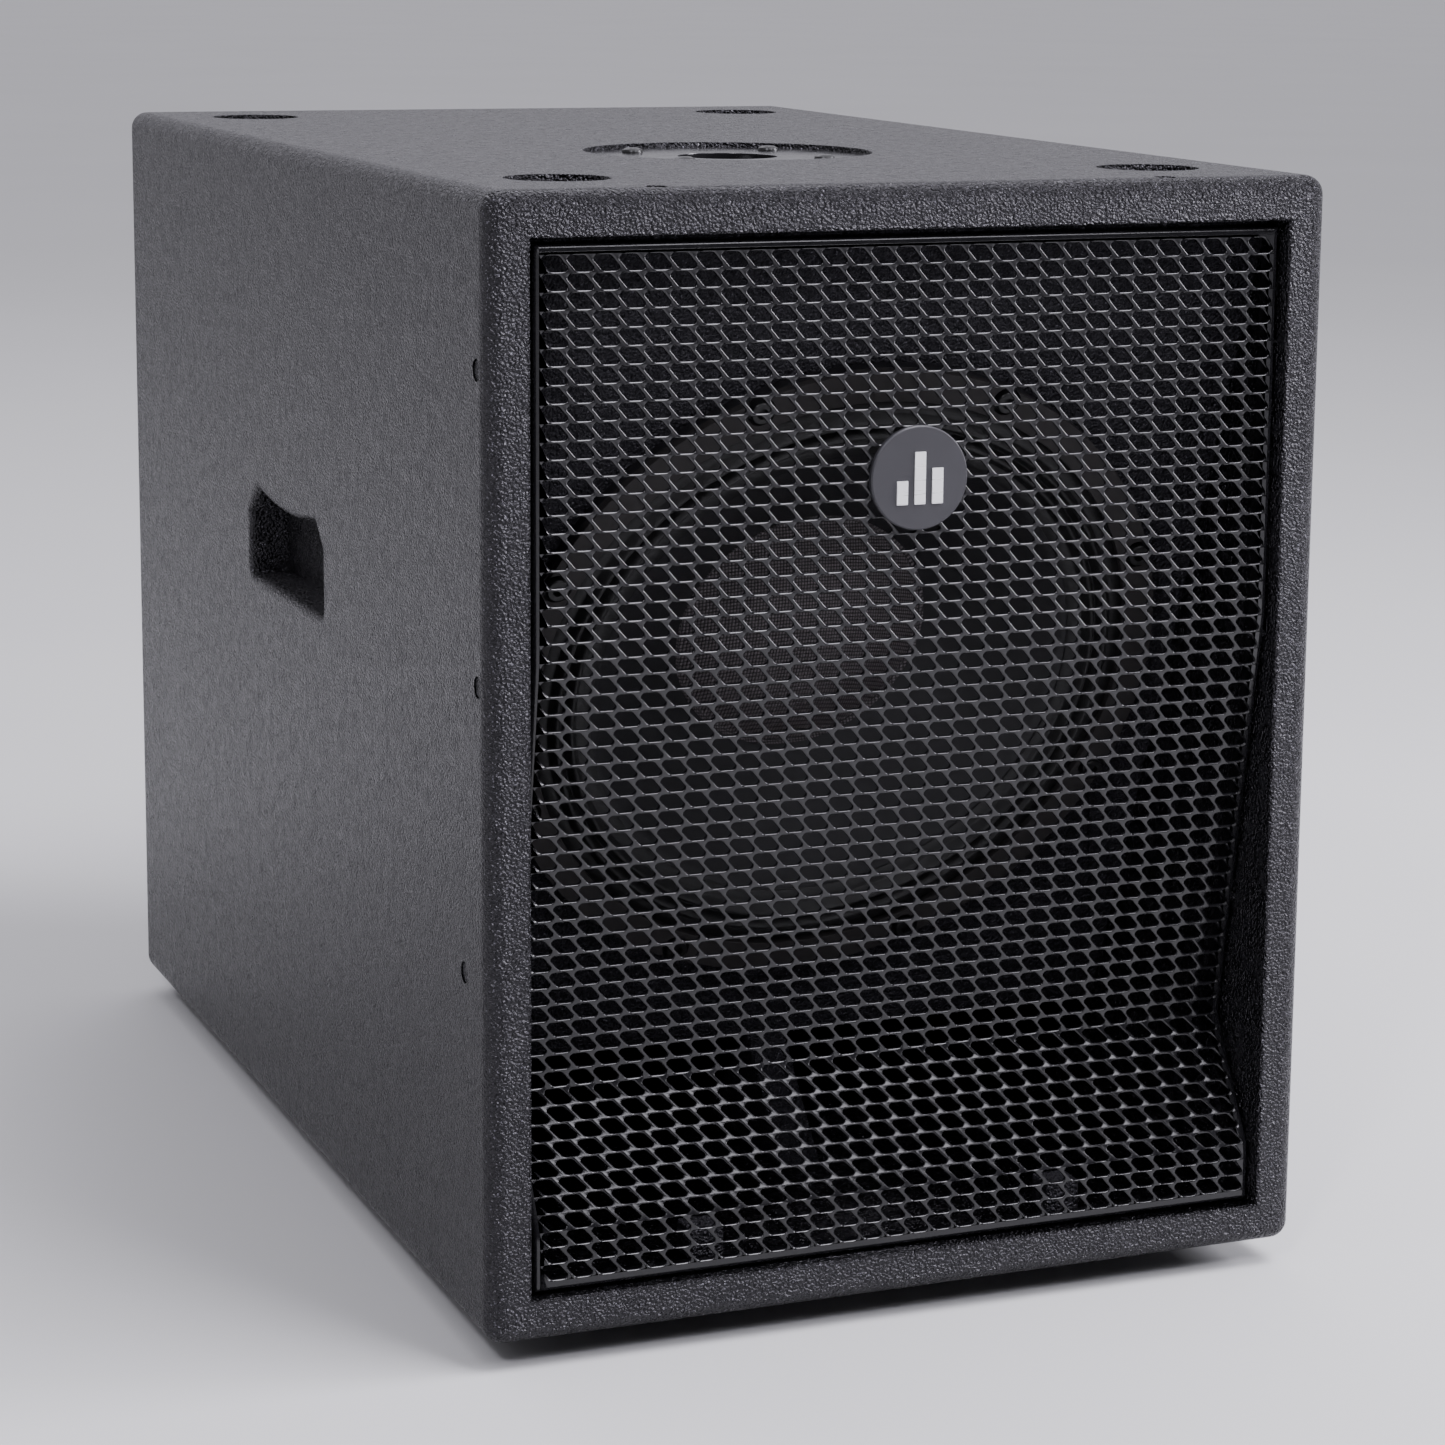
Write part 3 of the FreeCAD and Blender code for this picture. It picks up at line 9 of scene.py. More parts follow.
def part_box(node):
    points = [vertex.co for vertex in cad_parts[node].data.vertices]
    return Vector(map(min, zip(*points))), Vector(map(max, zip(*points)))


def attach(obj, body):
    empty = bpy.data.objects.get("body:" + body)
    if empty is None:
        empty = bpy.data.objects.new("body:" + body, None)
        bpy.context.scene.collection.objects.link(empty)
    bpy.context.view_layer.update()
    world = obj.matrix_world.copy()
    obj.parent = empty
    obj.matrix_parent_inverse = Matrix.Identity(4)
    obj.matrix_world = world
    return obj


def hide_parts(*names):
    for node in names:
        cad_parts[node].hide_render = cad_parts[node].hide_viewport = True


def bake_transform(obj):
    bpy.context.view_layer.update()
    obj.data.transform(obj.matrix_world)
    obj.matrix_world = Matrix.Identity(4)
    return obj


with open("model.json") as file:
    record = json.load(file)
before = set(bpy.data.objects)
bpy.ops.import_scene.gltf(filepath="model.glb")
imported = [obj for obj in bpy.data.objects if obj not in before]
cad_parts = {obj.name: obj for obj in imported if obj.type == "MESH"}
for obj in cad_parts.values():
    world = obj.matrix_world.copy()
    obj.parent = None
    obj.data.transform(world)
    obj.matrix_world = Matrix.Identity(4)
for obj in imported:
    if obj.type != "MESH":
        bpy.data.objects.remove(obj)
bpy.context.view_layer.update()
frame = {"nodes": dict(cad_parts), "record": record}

# Visual model of a compact powered PA subwoofer. Metres, origin in the middle of the underside,
# front towards -Y, +X to the right when the front is looked at, +Z up.

MM = 0.001
nodes = frame["nodes"]


def span(node):
    """Lowest and highest corner of a CAD node."""
    low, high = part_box(node)
    return Vector(low), Vector(high)


SHELL_LOW = span("bottom_panel")[0]
SHELL_HIGH = span("top_panel")[1]
FRONT = SHELL_LOW.y
BACK = SHELL_HIGH.y
BASE = SHELL_LOW.z
TOP = SHELL_HIGH.z
ROOT = "cabinet"
TILT = math.radians(20.6)    # of the driver and its baffle, looking down


# ---------------------------------------------------------------- material helpers

class Shader:
    """A small builder for node materials, in object coordinates (metres)."""

    def __init__(self, name, **values):
        self.material = bpy.data.materials.new(name)
        self.material.use_nodes = True
        self.tree = self.material.node_tree
        self.main = self.tree.nodes["Principled BSDF"]
        self.place = self.node("ShaderNodeTexCoord").outputs["Object"]
        for key, value in values.items():
            self.main.inputs[key.replace("_", " ")].default_value = value

    def node(self, kind, **settings):
        made = self.tree.nodes.new(kind)
        for key, value in settings.items():
            setattr(made, key, value)
        return made

    def link(self, output, target):
        self.tree.links.new(output, target)

    def put(self, target, value):
        """A socket takes a link or a plain value."""
        if isinstance(value, bpy.types.NodeSocket):
            self.link(value, target)
        else:
            target.default_value = value

    def noise(self, scale, detail=2.0, rough=0.5, stretch=None):
        made = self.node("ShaderNodeTexNoise")
        made.inputs["Scale"].default_value = scale
        made.inputs["Detail"].default_value = detail
        made.inputs["Roughness"].default_value = rough
        place = self.mapped("Scale", stretch) if stretch else self.place
        self.link(place, made.inputs["Vector"])
        return made.outputs["Fac"]

    def mapped(self, setting, value):
        """The object coordinates, scaled or rotated."""
        mapping = self.node("ShaderNodeMapping")
        mapping.inputs[setting].default_value = value
        self.link(self.place, mapping.inputs["Vector"])
        return mapping.outputs["Vector"]

    def voronoi(self, scale, feature):
        made = self.node("ShaderNodeTexVoronoi", feature=feature)
        made.inputs["Scale"].default_value = scale
        self.link(self.place, made.inputs["Vector"])
        return made

    def grains(self, scale, smoothness):
        """Distance from the middle of soft-edged cells."""
        made = self.voronoi(scale, "SMOOTH_F1")
        made.inputs["Smoothness"].default_value = smoothness
        return made.outputs["Distance"]

    def painted_glints(self, scale, share):
        """Scattered round specks: the middles of a share of all cells, used as the mask of painted glints."""
        made = self.voronoi(scale, "F1")
        draw = self.node("ShaderNodeSeparateXYZ")
        self.link(made.outputs["Color"], draw.inputs["Vector"])
        chosen = self.ramp(draw.outputs["X"], 1.0 - share, 1.0)
        return self.math("MULTIPLY", chosen, self.ramp(made.outputs["Distance"], 0.42, 0.18))

    def math(self, operation, first, second=0.0):
        made = self.node("ShaderNodeMath", operation=operation)
        self.put(made.inputs[0], first)
        self.put(made.inputs[1], second)
        return made.outputs["Value"]

    def average(self, first, second):
        return self.math("MULTIPLY", self.math("ADD", first, second), 0.5)

    def ramp(self, value, low, high, at_low=0.0, at_high=1.0):
        made = self.node("ShaderNodeMapRange")
        self.put(made.inputs["Value"], value)
        made.inputs["From Min"].default_value = low
        made.inputs["From Max"].default_value = high
        made.inputs["To Min"].default_value = at_low
        made.inputs["To Max"].default_value = at_high
        return made.outputs["Result"]

    def mix(self, share, first, second):
        made = self.node("ShaderNodeMix", data_type="RGBA")
        self.put(made.inputs["Factor"], share)
        self.put(made.inputs["A"], first)
        self.put(made.inputs["B"], second)
        return made.outputs["Result"]

    def colour(self, share, first, second):
        self.link(self.mix(share, first, second), self.main.inputs["Base Color"])

    def roughness(self, value):
        self.link(value, self.main.inputs["Roughness"])

    def bump(self, height, distance):
        made = self.node("ShaderNodeBump")
        made.inputs["Strength"].default_value = 1.0
        made.inputs["Distance"].default_value = distance
        self.link(height, made.inputs["Height"])
        self.link(made.outputs["Normal"], self.main.inputs["Normal"])


def grey(level, tint=(1.0, 1.0, 1.0)):
    return (level * tint[0], level * tint[1], level * tint[2], 1.0)


COOL = (0.98, 0.95, 1.10)
MAUVE = (1.08, 0.94, 1.0)
# colour of the painted glints: grains painted light, as if a lamp caught them
PAINTED_GLINT = grey(0.17, COOL)


def textured_coat(name, level, grain, depth, rough):
    """Sprayed polyurea coat: small glossy grains of uneven size, with painted glints: a few grains painted
    bright as if catching the light.
    """
    m = Shader(name, IOR=1.42, Specular_Tint=(0.95, 0.92, 1.0, 1.0))
    lumps = m.grains(grain, 0.25)
    small = m.noise(grain * 1.1, 1.0, 0.5)
    swell = m.noise(grain * 0.22, 2.0, 0.5)
    patches = m.noise(9.0, 3.0, 0.5)
    height = m.math("ADD", m.math("MULTIPLY", lumps, -0.7), small)
    height = m.math("ADD", height, m.math("MULTIPLY", swell, 0.35))
    base = m.mix(m.ramp(patches, 0.3, 0.7), grey(level * 0.85, COOL), grey(level * 1.2, COOL))
    # a share of the grains gets the painted glint colour: painted highlights
    m.colour(m.painted_glints(grain * 1.05, 0.16), base, PAINTED_GLINT)
    m.roughness(m.ramp(swell, 0.3, 0.7, rough - 0.06, rough + 0.10))
    m.bump(height, depth)
    return m.material


def powder_coat(name, level=0.008, rough=0.17):
    """Satin black powder coat on steel, with the faint orange peel it dries to."""
    m = Shader(name)
    peel = m.noise(900.0, 2.0, 0.5)
    dust = m.noise(90.0, 4.0, 0.6)
    m.colour(dust, grey(level * 0.8, COOL), grey(level * 1.3, COOL))
    m.roughness(m.ramp(dust, 0.3, 0.7, rough - 0.05, rough + 0.07))
    m.bump(peel, 0.00003)
    return m.material


def moulded(name, dark, light, rough, grain=1800.0, depth=0.00002):
    """Moulded plastic or rubber: a fine spark-eroded grain and slightly uneven gloss."""
    m = Shader(name)
    cloud = m.noise(60.0, 3.0, 0.55)
    m.colour(cloud, dark, light)
    m.roughness(m.ramp(m.noise(240.0, 3.0, 0.6), 0.3, 0.7, rough - 0.06, rough + 0.08))
    m.bump(m.noise(grain, 2.0, 0.6), depth)
    return m.material


def metal(name, dark, light, rough, stretch=(1.0, 1.0, 1.0), grain=900.0, depth=0.000012,
          metallic=1.0):
    """Bare or plated metal with machining or rolling marks along one way."""
    m = Shader(name, Metallic=metallic)
    marks = m.noise(grain, 3.0, 0.6, stretch)
    cloud = m.noise(35.0, 3.0, 0.55)
    m.colour(m.average(marks, cloud), dark, light)
    m.roughness(m.ramp(marks, 0.25, 0.75, rough - 0.08, rough + 0.10))
    m.bump(marks, depth)
    return m.material


def felted(name, dark, light, rough, scale, depth):
    """Pulp, foam or pressed fibre: matted strands over soft clumps."""
    m = Shader(name)
    strands = m.noise(scale, 4.0, 0.7)
    clumps = m.noise(scale * 0.12, 3.0, 0.6)
    m.colour(m.average(strands, clumps), dark, light)
    m.roughness(m.ramp(strands, 0.3, 0.7, rough - 0.08, rough + 0.08))
    m.bump(m.math("ADD", strands, m.math("MULTIPLY", clumps, 0.6)), depth)
    return m.material


def woven(name, dark, light, rough, pitch, depth):
    """Plain weave: two crossing sets of threads, laid out in the plane of the driver."""
    m = Shader(name)
    split = m.node("ShaderNodeSeparateXYZ")
    m.link(m.mapped("Rotation", (TILT, 0.0, 0.0)), split.inputs["Vector"])
    rate = 2 * math.pi / pitch
    warp = m.math("SINE", m.math("MULTIPLY", split.outputs["X"], rate))
    weft = m.math("SINE", m.math("MULTIPLY", split.outputs["Z"], rate))
    threads = m.math("ABSOLUTE", m.math("MULTIPLY", warp, weft))
    fuzz = m.noise(4.0 / pitch, 2.0, 0.6)
    height = m.math("ADD", threads, m.math("MULTIPLY", fuzz, 0.35))
    m.colour(m.ramp(height, 0.3, 0.9), dark, light)
    m.roughness(m.ramp(fuzz, 0.3, 0.7, rough - 0.08, rough + 0.08))
    m.bump(height, depth)
    return m.material


def plywood(name):
    """Birch plywood: pale veneer with a long grain."""
    m = Shader(name)
    grain = m.noise(60.0, 6.0, 0.65, (1.0, 1.0, 12.0))
    cloud = m.noise(8.0, 2.0, 0.5)
    m.colour(m.average(grain, cloud), (0.36, 0.23, 0.12, 1.0), (0.68, 0.52, 0.34, 1.0))
    m.roughness(m.ramp(grain, 0.3, 0.7, 0.5, 0.7))
    m.bump(grain, 0.00008)
    return m.material


MATERIALS = {
    "coated_plywood": textured_coat("coat", 0.004, 760.0, 0.0021, 0.22),
    "birch_plywood": plywood("plywood"),
    "powder_coated_steel": powder_coat("powder_coat"),
    "black_screw": metal("black_screw", grey(0.02), grey(0.06), 0.34, depth=0.000006, metallic=0.8),
    "painted_screw": textured_coat("painted_screw", 0.006, 900.0, 0.0008, 0.22),
    "zinc_steel": metal("zinc", grey(0.42, (1.0, 1.0, 0.97)), grey(0.66, (1.0, 1.0, 0.95)), 0.36,
                        (1.0, 1.0, 0.1), 500.0),
    "foot_rubber": moulded("foot_rubber", grey(0.010), grey(0.022), 0.62, 2600.0, 0.00004),
    "badge_face": moulded("badge_face", grey(0.030, COOL), grey(0.038, COOL), 0.42, 2600.0, 0.00001),
    "badge_bars": metal("badge_silver", grey(0.75), grey(0.92), 0.3, (0.05, 1.0, 1.0), 900.0, 0.000004, 0.3),
    "cast_basket": powder_coat("basket_paint", 0.012, 0.42),
    "gasket_fibre": felted("gasket", (0.010, 0.009, 0.009, 1.0), (0.030, 0.026, 0.026, 1.0), 0.7,
                           1500.0, 0.00012),
    "treated_cloth": woven("treated_cloth", grey(0.008), grey(0.022), 0.42, 0.0011, 0.00008),
    "spider_cloth": woven("spider_cloth", (0.22, 0.11, 0.03, 1.0), (0.50, 0.29, 0.11, 1.0), 0.7,
                          0.0014, 0.0002),
    "cone_paper": felted("cone_paper", grey(0.005, COOL), grey(0.013, COOL), 0.55, 1100.0, 0.00010),
    "cap_mesh": woven("cap_mesh", grey(0.004, MAUVE), grey(0.14, MAUVE), 0.34, 0.0028, 0.00045),
    "former_plastic": moulded("former", (0.30, 0.17, 0.05, 1.0), (0.46, 0.28, 0.10, 1.0), 0.4),
    "copper_wire": metal("copper", (0.50, 0.20, 0.08, 1.0), (0.72, 0.36, 0.18, 1.0), 0.3,
                         (1.0, 8.0, 8.0), 700.0, 0.0001),
    "motor_steel": metal("motor_steel", grey(0.22), grey(0.36), 0.4, (1.0, 0.15, 1.0), 700.0),
    "magnet": felted("magnet", grey(0.025), grey(0.06), 0.6, 1600.0, 0.00006),
    "black_plastic": moulded("black_plastic", grey(0.010), grey(0.018), 0.42),
    "knob_plastic": moulded("knob_plastic", grey(0.012), grey(0.022), 0.5, 2400.0, 0.00003),
    "button_plastic": moulded("button_plastic", grey(0.30), grey(0.36), 0.36),
    "lamp_plastic": moulded("lamp_plastic", (0.02, 0.20, 0.05, 1.0), (0.05, 0.36, 0.10, 1.0), 0.16),
    "anodised_plate": metal("anodised", grey(0.014, COOL), grey(0.026, COOL), 0.42,
                            (0.06, 1.0, 1.0), 800.0, metallic=0.35),
    "seal_foam": felted("seal_foam", grey(0.010), grey(0.025), 0.85, 1800.0, 0.0002),
    "board_laminate": moulded("board", (0.01, 0.07, 0.025, 1.0), (0.02, 0.12, 0.045, 1.0), 0.3),
    "wire_red": moulded("wire_red", (0.30, 0.01, 0.01, 1.0), (0.42, 0.02, 0.02, 1.0), 0.45),
    "wire_black": moulded("wire_black", grey(0.010), grey(0.02), 0.45),
    "acoustic_foam": felted("acoustic_foam", grey(0.03), grey(0.10), 0.95, 420.0, 0.0012),
}
SLOT_OF = {entry["node"]: entry["material_slot"] for entry in frame["record"]["subparts"]}
# the wood behind the grille has a duller coat, painted paler: painted light on parts that lie in the grille's
# shade
PAINTED_LIGHT_INNER_COAT = textured_coat("inner_coat_painted_light", 0.021, 760.0, 0.0021, 0.40)
BEHIND_GRILLE = ("baffle", "port_shelf", "port_divider", "grille_support_blocks")
for name, node in nodes.items():
    node.data.materials.clear()
    node.data.materials.append(PAINTED_LIGHT_INNER_COAT if name in BEHIND_GRILLE else MATERIALS[SLOT_OF[name]])


# ---------------------------------------------------------------- mesh helpers

def piece(name, points, faces, body, slot, smooth=True, replaced=()):
    """A visual piece made of points and faces that rides on a body if one is given."""
    mesh = bpy.data.meshes.new(name)
    mesh.from_pydata([tuple(p) for p in points], [], faces)
    mesh.validate()
    mesh.update()
    if smooth:
        mesh.polygons.foreach_set("use_smooth", [True] * len(mesh.polygons))
    made = bpy.data.objects.new(name, mesh)
    bpy.context.scene.collection.objects.link(made)
    mesh.materials.append(MATERIALS[slot])
    if body:
        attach(made, body)
    if replaced:
        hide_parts(*replaced)
    return made


def even_shading(made):
    """Keeps flat faces flat beside their rounded edges."""
    even = made.modifiers.new("even_shading", "WEIGHTED_NORMAL")
    even.keep_sharp = True
    even.weight = 60


def face_outwards(made):
    """Turns every face of a closed piece outwards."""
    mesh = bmesh.new()
    mesh.from_mesh(made.data)
    bmesh.ops.recalc_face_normals(mesh, faces=mesh.faces)
    mesh.to_mesh(made.data)
    mesh.free()


def rounded_polygon(corners, radii, steps):
    """Corner points in order, each turned into an arc: a list of (corner index, point, outward normal)."""
    count = len(corners)
    turned = []
    area = sum(corners[i][0] * corners[(i + 1) % count][1] - corners[(i + 1) % count][0] * corners[i][1]
               for i in range(count))
    sign = 1.0 if area > 0 else -1.0
    for i, corner in enumerate(corners):
        here = Vector(corner)
        before = (Vector(corners[i - 1]) - here).normalized()
        after = (Vector(corners[(i + 1) % count]) - here).normalized()
        half = before.angle(after) / 2
        radius = radii[i]
        centre = here + (before + after).normalized() * (radius / math.sin(half))
        first = Vector((-before.y, before.x)) * sign
        last = Vector((after.y, -after.x)) * sign
        for k in range(steps[i]):
            normal = first.slerp(last, k / (steps[i] - 1))
            turned.append((i, centre + normal * radius, normal))
    return turned


# ---------------------------------------------------------------- grille

class Fold:
    """The grille's outer face as a path down its front, softly bent at its corners."""

    def __init__(self, corners, softness):
        self.corners = [Vector(c) for c in corners]
        self.soft = softness
        self.starts = [0.0]
        for a, b in zip(self.corners, self.corners[1:]):
            self.starts.append(self.starts[-1] + (b - a).length)

    def along(self, distance):
        last = len(self.corners) - 2
        part = 0
        while part < last and distance > self.starts[part + 1]:
            part += 1
        start, end = self.corners[part], self.corners[part + 1]
        way = (end - start).normalized()
        point = start + way * (distance - self.starts[part])
        for k in range(1, len(self.corners) - 1):
            off = distance - self.starts[k]
            if abs(off) < self.soft:
                corner = self.corners[k]
                came = (corner - self.corners[k - 1]).normalized()
                goes = (self.corners[k + 1] - corner).normalized()
                share = (off + self.soft) / (2 * self.soft)
                low, high = corner - came * self.soft, corner + goes * self.soft
                point = low * (1 - share) ** 2 + corner * 2 * share * (1 - share) + high * share ** 2
                way = (came * (1 - share) + goes * share).normalized()
        return point, way

    def at(self, x, distance, depth):
        """A point of the sheet: x across, distance down the face, depth behind it."""
        point, way = self.along(distance)
        return (x, point.x - way.y * depth, point.y + way.x * depth)


SHEET = 2.0 * MM
FLANGE = 12.0 * MM
EDGE = 2.4 * MM                   # outer radius where the sheet turns back to its flange
LIP = 0.55 * MM                   # radius of the soft lip that punching leaves on a hole's front
COLUMNS, PITCH = 30, 11.0 * MM
ROWS = [22, 25, 8, 3]             # on the four flat stretches, from the top down
SLANT = 0.75                      # sideways lean of the borders between holes
TOP_MARGIN, BOTTOM_MARGIN = 4.4 * MM, 4.6 * MM
HOLE = rounded_polygon([(x * MM, y * MM) for x, y in ((1.7, -3.2), (-4.7, -3.2), (-5.95, -1.7),
                                                      (-1.7, 3.2), (4.7, 3.2), (5.95, 1.7))],
                       [r * MM for r in (2.2, 0.8, 0.5, 2.2, 0.8, 0.5)], [4, 2, 2, 4, 2, 2])


class PerforatedSheet:
    """The bent sheet: a front and a back skin of points, joined through every hole and round the flange."""

    def __init__(self):
        low, high = span("grille")
        face, self.half = low.y, high.x
        upper_bend, deep_bend, lower_bend, deep_back = 287.0 * MM, 98.5 * MM, 46.4 * MM, 30.1 * MM
        self.fold = Fold([(face, high.z), (face, BASE + upper_bend), (face + deep_back, BASE + deep_bend),
                          (face, BASE + lower_bend), (face, low.z)], 2.6 * MM)
        self.points, self.faces = [], []
        self.borders = [(k - COLUMNS / 2) * PITCH for k in range(COLUMNS + 1)]
        self.levels, self.perforated = self.spaced_levels()
        self.sides = [self.grid(0.0, self.half - EDGE, self.half - EDGE),
                      self.grid(SHEET, self.half - SHEET, self.half - SHEET - 0.2 * MM)]

    def add(self, x, distance, depth, limit):
        self.points.append(self.fold.at(max(-limit, min(limit, x)), distance, depth))
        return len(self.points) - 1

    def spaced_levels(self):
        """Lines across the sheet as (distance, lean), and the numbers of those with holes below them."""
        levels, perforated = [], set()
        starts = self.fold.starts
        for part, count in enumerate(ROWS):
            start = starts[part] + (TOP_MARGIN if part == 0 else 0.0)
            end = starts[part + 1] - (BOTTOM_MARGIN if part == len(ROWS) - 1 else 0.0)
            tall = (end - start) / count
            for k in range(count):
                levels.append((start + k * tall, SLANT * tall / 2))
                perforated.add(len(levels))
        levels.append((starts[-1] - BOTTOM_MARGIN, levels[-1][1]))
        levels.insert(0, (EDGE, levels[0][1]))
        levels.append((starts[-1] - EDGE, levels[-1][1]))
        return levels, perforated

    def grid(self, depth, outer, limit):
        """One skin's points: each level has its two ends and two points at every border between holes."""
        grid = []
        for distance, lean in self.levels:
            line = [self.add(-outer, distance, depth, self.half)]
            for border in self.borders:
                line.append(self.add(border - lean, distance, depth, limit))
                line.append(self.add(border + lean, distance, depth, limit))
            line.append(self.add(outer, distance, depth, self.half))
            grid.append(line)
        return grid

    def face(self, loop, back):
        self.faces.append(tuple(reversed(loop)) if back else tuple(loop))

    def plain_band(self, level):
        for back, side in enumerate(self.sides):
            above, below = side[level], side[level + 1]
            for j in range(len(above) - 1):
                self.face((above[j], above[j + 1], below[j + 1], below[j]), back)

    def row_ends(self, level):
        """The sheet beside the first and the last hole of a row."""
        for back, side in enumerate(self.sides):
            above, below = side[level], side[level + 1]
            self.face((above[0], above[1], below[1], below[0]), back)
            self.face((above[1], below[2], below[1]), back)
            self.face((above[-3], above[-2], below[-2]), back)
            self.face((above[-2], above[-1], below[-1], below[-2]), back)

    def hole(self, level, column):
        """A hole with its lip, and the sheet between it and its cell's six corners on both skins."""
        middle = (self.levels[level][0] + self.levels[level + 1][0]) / 2
        centre = (self.borders[column] + self.borders[column + 1]) / 2
        rings = []
        for depth, spread in ((0.0, LIP), (LIP * 0.29, LIP * 0.29), (LIP, 0.0),
                              (SHEET - LIP * 0.7, 0.0), (SHEET, LIP * 0.7)):
            rings.append([self.add(centre + p.x + n.x * spread, middle + p.y + n.y * spread, depth, self.half)
                          for _, p, n in HOLE])
        size = len(HOLE)
        for a, b in zip(rings, rings[1:]):
            for k in range(size):
                self.faces.append((a[k], a[(k + 1) % size], b[(k + 1) % size], b[k]))
        first = 1 + 2 * column
        for back, (side, ring) in enumerate(zip(self.sides, (rings[0], rings[-1]))):
            above, below = side[level], side[level + 1]
            around = [above[first + 2], above[first + 1], above[first],
                      below[first + 1], below[first + 2], below[first + 3]]
            for k in range(size):
                here, after = HOLE[k][0], HOLE[(k + 1) % size][0]
                a, b = ring[k], ring[(k + 1) % size]
                if here == after:
                    self.face((around[here], b, a), back)
                else:
                    self.face((around[here], around[after], b, a), back)

    def rim(self, side):
        """The outermost points of a skin, clockwise from its upper left corner."""
        between = range(1, len(side) - 1)
        return (side[0] + [side[k][-1] for k in between] + side[-1][::-1]
                + [side[k][0] for k in reversed(between)])

    def band(self, previous, line):
        for k in range(len(line)):
            after = (k + 1) % len(line)
            self.faces.append((line[k], line[after], previous[after], previous[k]))

    def flange(self):
        """The edge turned back all round: a quarter round, a straight stretch and a blunt end."""
        front_rim, back_rim = self.rim(self.sides[0]), self.rim(self.sides[1])
        wide, tall = len(self.sides[0][0]), len(self.sides[0])
        outward = []
        for k in range(len(front_rim)):
            right = wide - 1 <= k <= wide + tall - 2
            left = k == 0 or k >= 2 * wide + tall - 3
            top = k < wide
            bottom = wide + tall - 2 <= k <= 2 * wide + tall - 3
            outward.append(Vector((right - left, 0.0, top - bottom)))
        stations = [(math.sin(a) * EDGE, (1 - math.cos(a)) * EDGE)
                    for a in (math.pi / 8, math.pi / 4, math.pi * 3 / 8, math.pi / 2)]
        blunt = 0.5 * MM
        stations += [(EDGE, EDGE * 2.5), (EDGE, FLANGE - blunt), (EDGE - blunt * 0.3, FLANGE - blunt * 0.3),
                     (EDGE - blunt, FLANGE), (EDGE - SHEET + blunt, FLANGE), (EDGE - SHEET, FLANGE - blunt)]
        previous = front_rim
        for out_by, back_by in stations:
            line = []
            for way, index in zip(outward, front_rim):
                base = Vector(self.points[index])
                self.points.append(tuple(base + way * out_by + Vector((0.0, back_by, 0.0))))
                line.append(len(self.points) - 1)
            self.band(previous, line)
            previous = line
        self.band(previous, back_rim)


def grille():
    sheet = PerforatedSheet()
    for level in range(len(sheet.levels) - 1):
        if level in sheet.perforated:
            sheet.row_ends(level)
            for column in range(COLUMNS):
                sheet.hole(level, column)
        else:
            sheet.plain_band(level)
    sheet.flange()
    made = piece("front_grille", sheet.points, sheet.faces, ROOT, "powder_coated_steel",
                 replaced=("grille",))
    even_shading(made)


# ---------------------------------------------------------------- coated box

def box_mesh(mesh, low, high):
    """Adds a box to a bmesh."""
    corners = [(x, y, z) for x in (low[0], high[0]) for y in (low[1], high[1]) for z in (low[2], high[2])]
    verts = [mesh.verts.new(c) for c in corners]
    for a, b, c, d in ((0, 1, 3, 2), (4, 6, 7, 5), (0, 4, 5, 1), (2, 3, 7, 6), (0, 2, 6, 4), (1, 5, 7, 3)):
        mesh.faces.new((verts[a], verts[b], verts[c], verts[d]))


def prism_mesh(mesh, outline, way):
    """Adds a prism: an outline of points, swept along a way."""
    near = [mesh.verts.new(p) for p in outline]
    far = [mesh.verts.new(Vector(p) + Vector(way)) for p in outline]
    mesh.faces.new(near)
    mesh.faces.new(list(reversed(far)))
    for i in range(len(near)):
        j = (i + 1) % len(near)
        mesh.faces.new((near[j], near[i], far[i], far[j]))


def disc_outline(x, y, z, radius, count=72):
    angles = [2 * math.pi * i / count for i in range(count)]
    return [(x + radius * math.cos(angle), y + radius * math.sin(angle), z) for angle in angles]


def as_object(name, mesh):
    bmesh.ops.recalc_face_normals(mesh, faces=mesh.faces)
    data = bpy.data.meshes.new(name)
    mesh.to_mesh(data)
    mesh.free()
    made = bpy.data.objects.new(name, data)
    bpy.context.scene.collection.objects.link(made)
    return made


def carved(base, tool):
    """A bmesh of the base without the tool."""
    cut = base.modifiers.new("cut", "BOOLEAN")
    cut.operation = "DIFFERENCE"
    cut.solver = "EXACT"
    cut.object = tool
    state = bpy.context.evaluated_depsgraph_get()
    result = bmesh.new()
    result.from_mesh(base.evaluated_get(state).to_mesh())
    for used in (base, tool):
        data = used.data
        bpy.data.objects.remove(used)
        bpy.data.meshes.remove(data)
    return result


def handle_outline(x, centre, half, drop):
    """The handle's mouth: flat floor, clipped upper corners, a lip that dips in the middle.

    Half is half its width, and drop is half its height.
    """
    corner, clip, dip = 5.0 * MM, 13.0 * MM, 5.0 * MM
    points = []
    for side in (1, -1):
        for k in range(5):
            angle = math.radians(90 * k / 4)
            points.append((side * (half - corner + corner * math.sin(angle)),
                           -drop + corner - corner * math.cos(angle)))
        if side == 1:
            points += [(half, drop - clip)]
            reach = half - clip
            for k in range(13):
                across = reach - 2 * reach * k / 12
                points.append((across, drop - dip * (1 - (across / reach) ** 2)))
            points += [(-half, drop - clip)]
        else:
            points[-5:] = reversed(points[-5:])
    return [(x, centre[0] + u, centre[1] + v) for u, v in points]


PANEL = 19.0 * MM
HANDLE = (-3.0 * MM, BASE + 287.5 * MM)    # Y and Z of the mouth's middle
THROUGH = 30.0 * MM                        # height of a cutter that leaves through the top


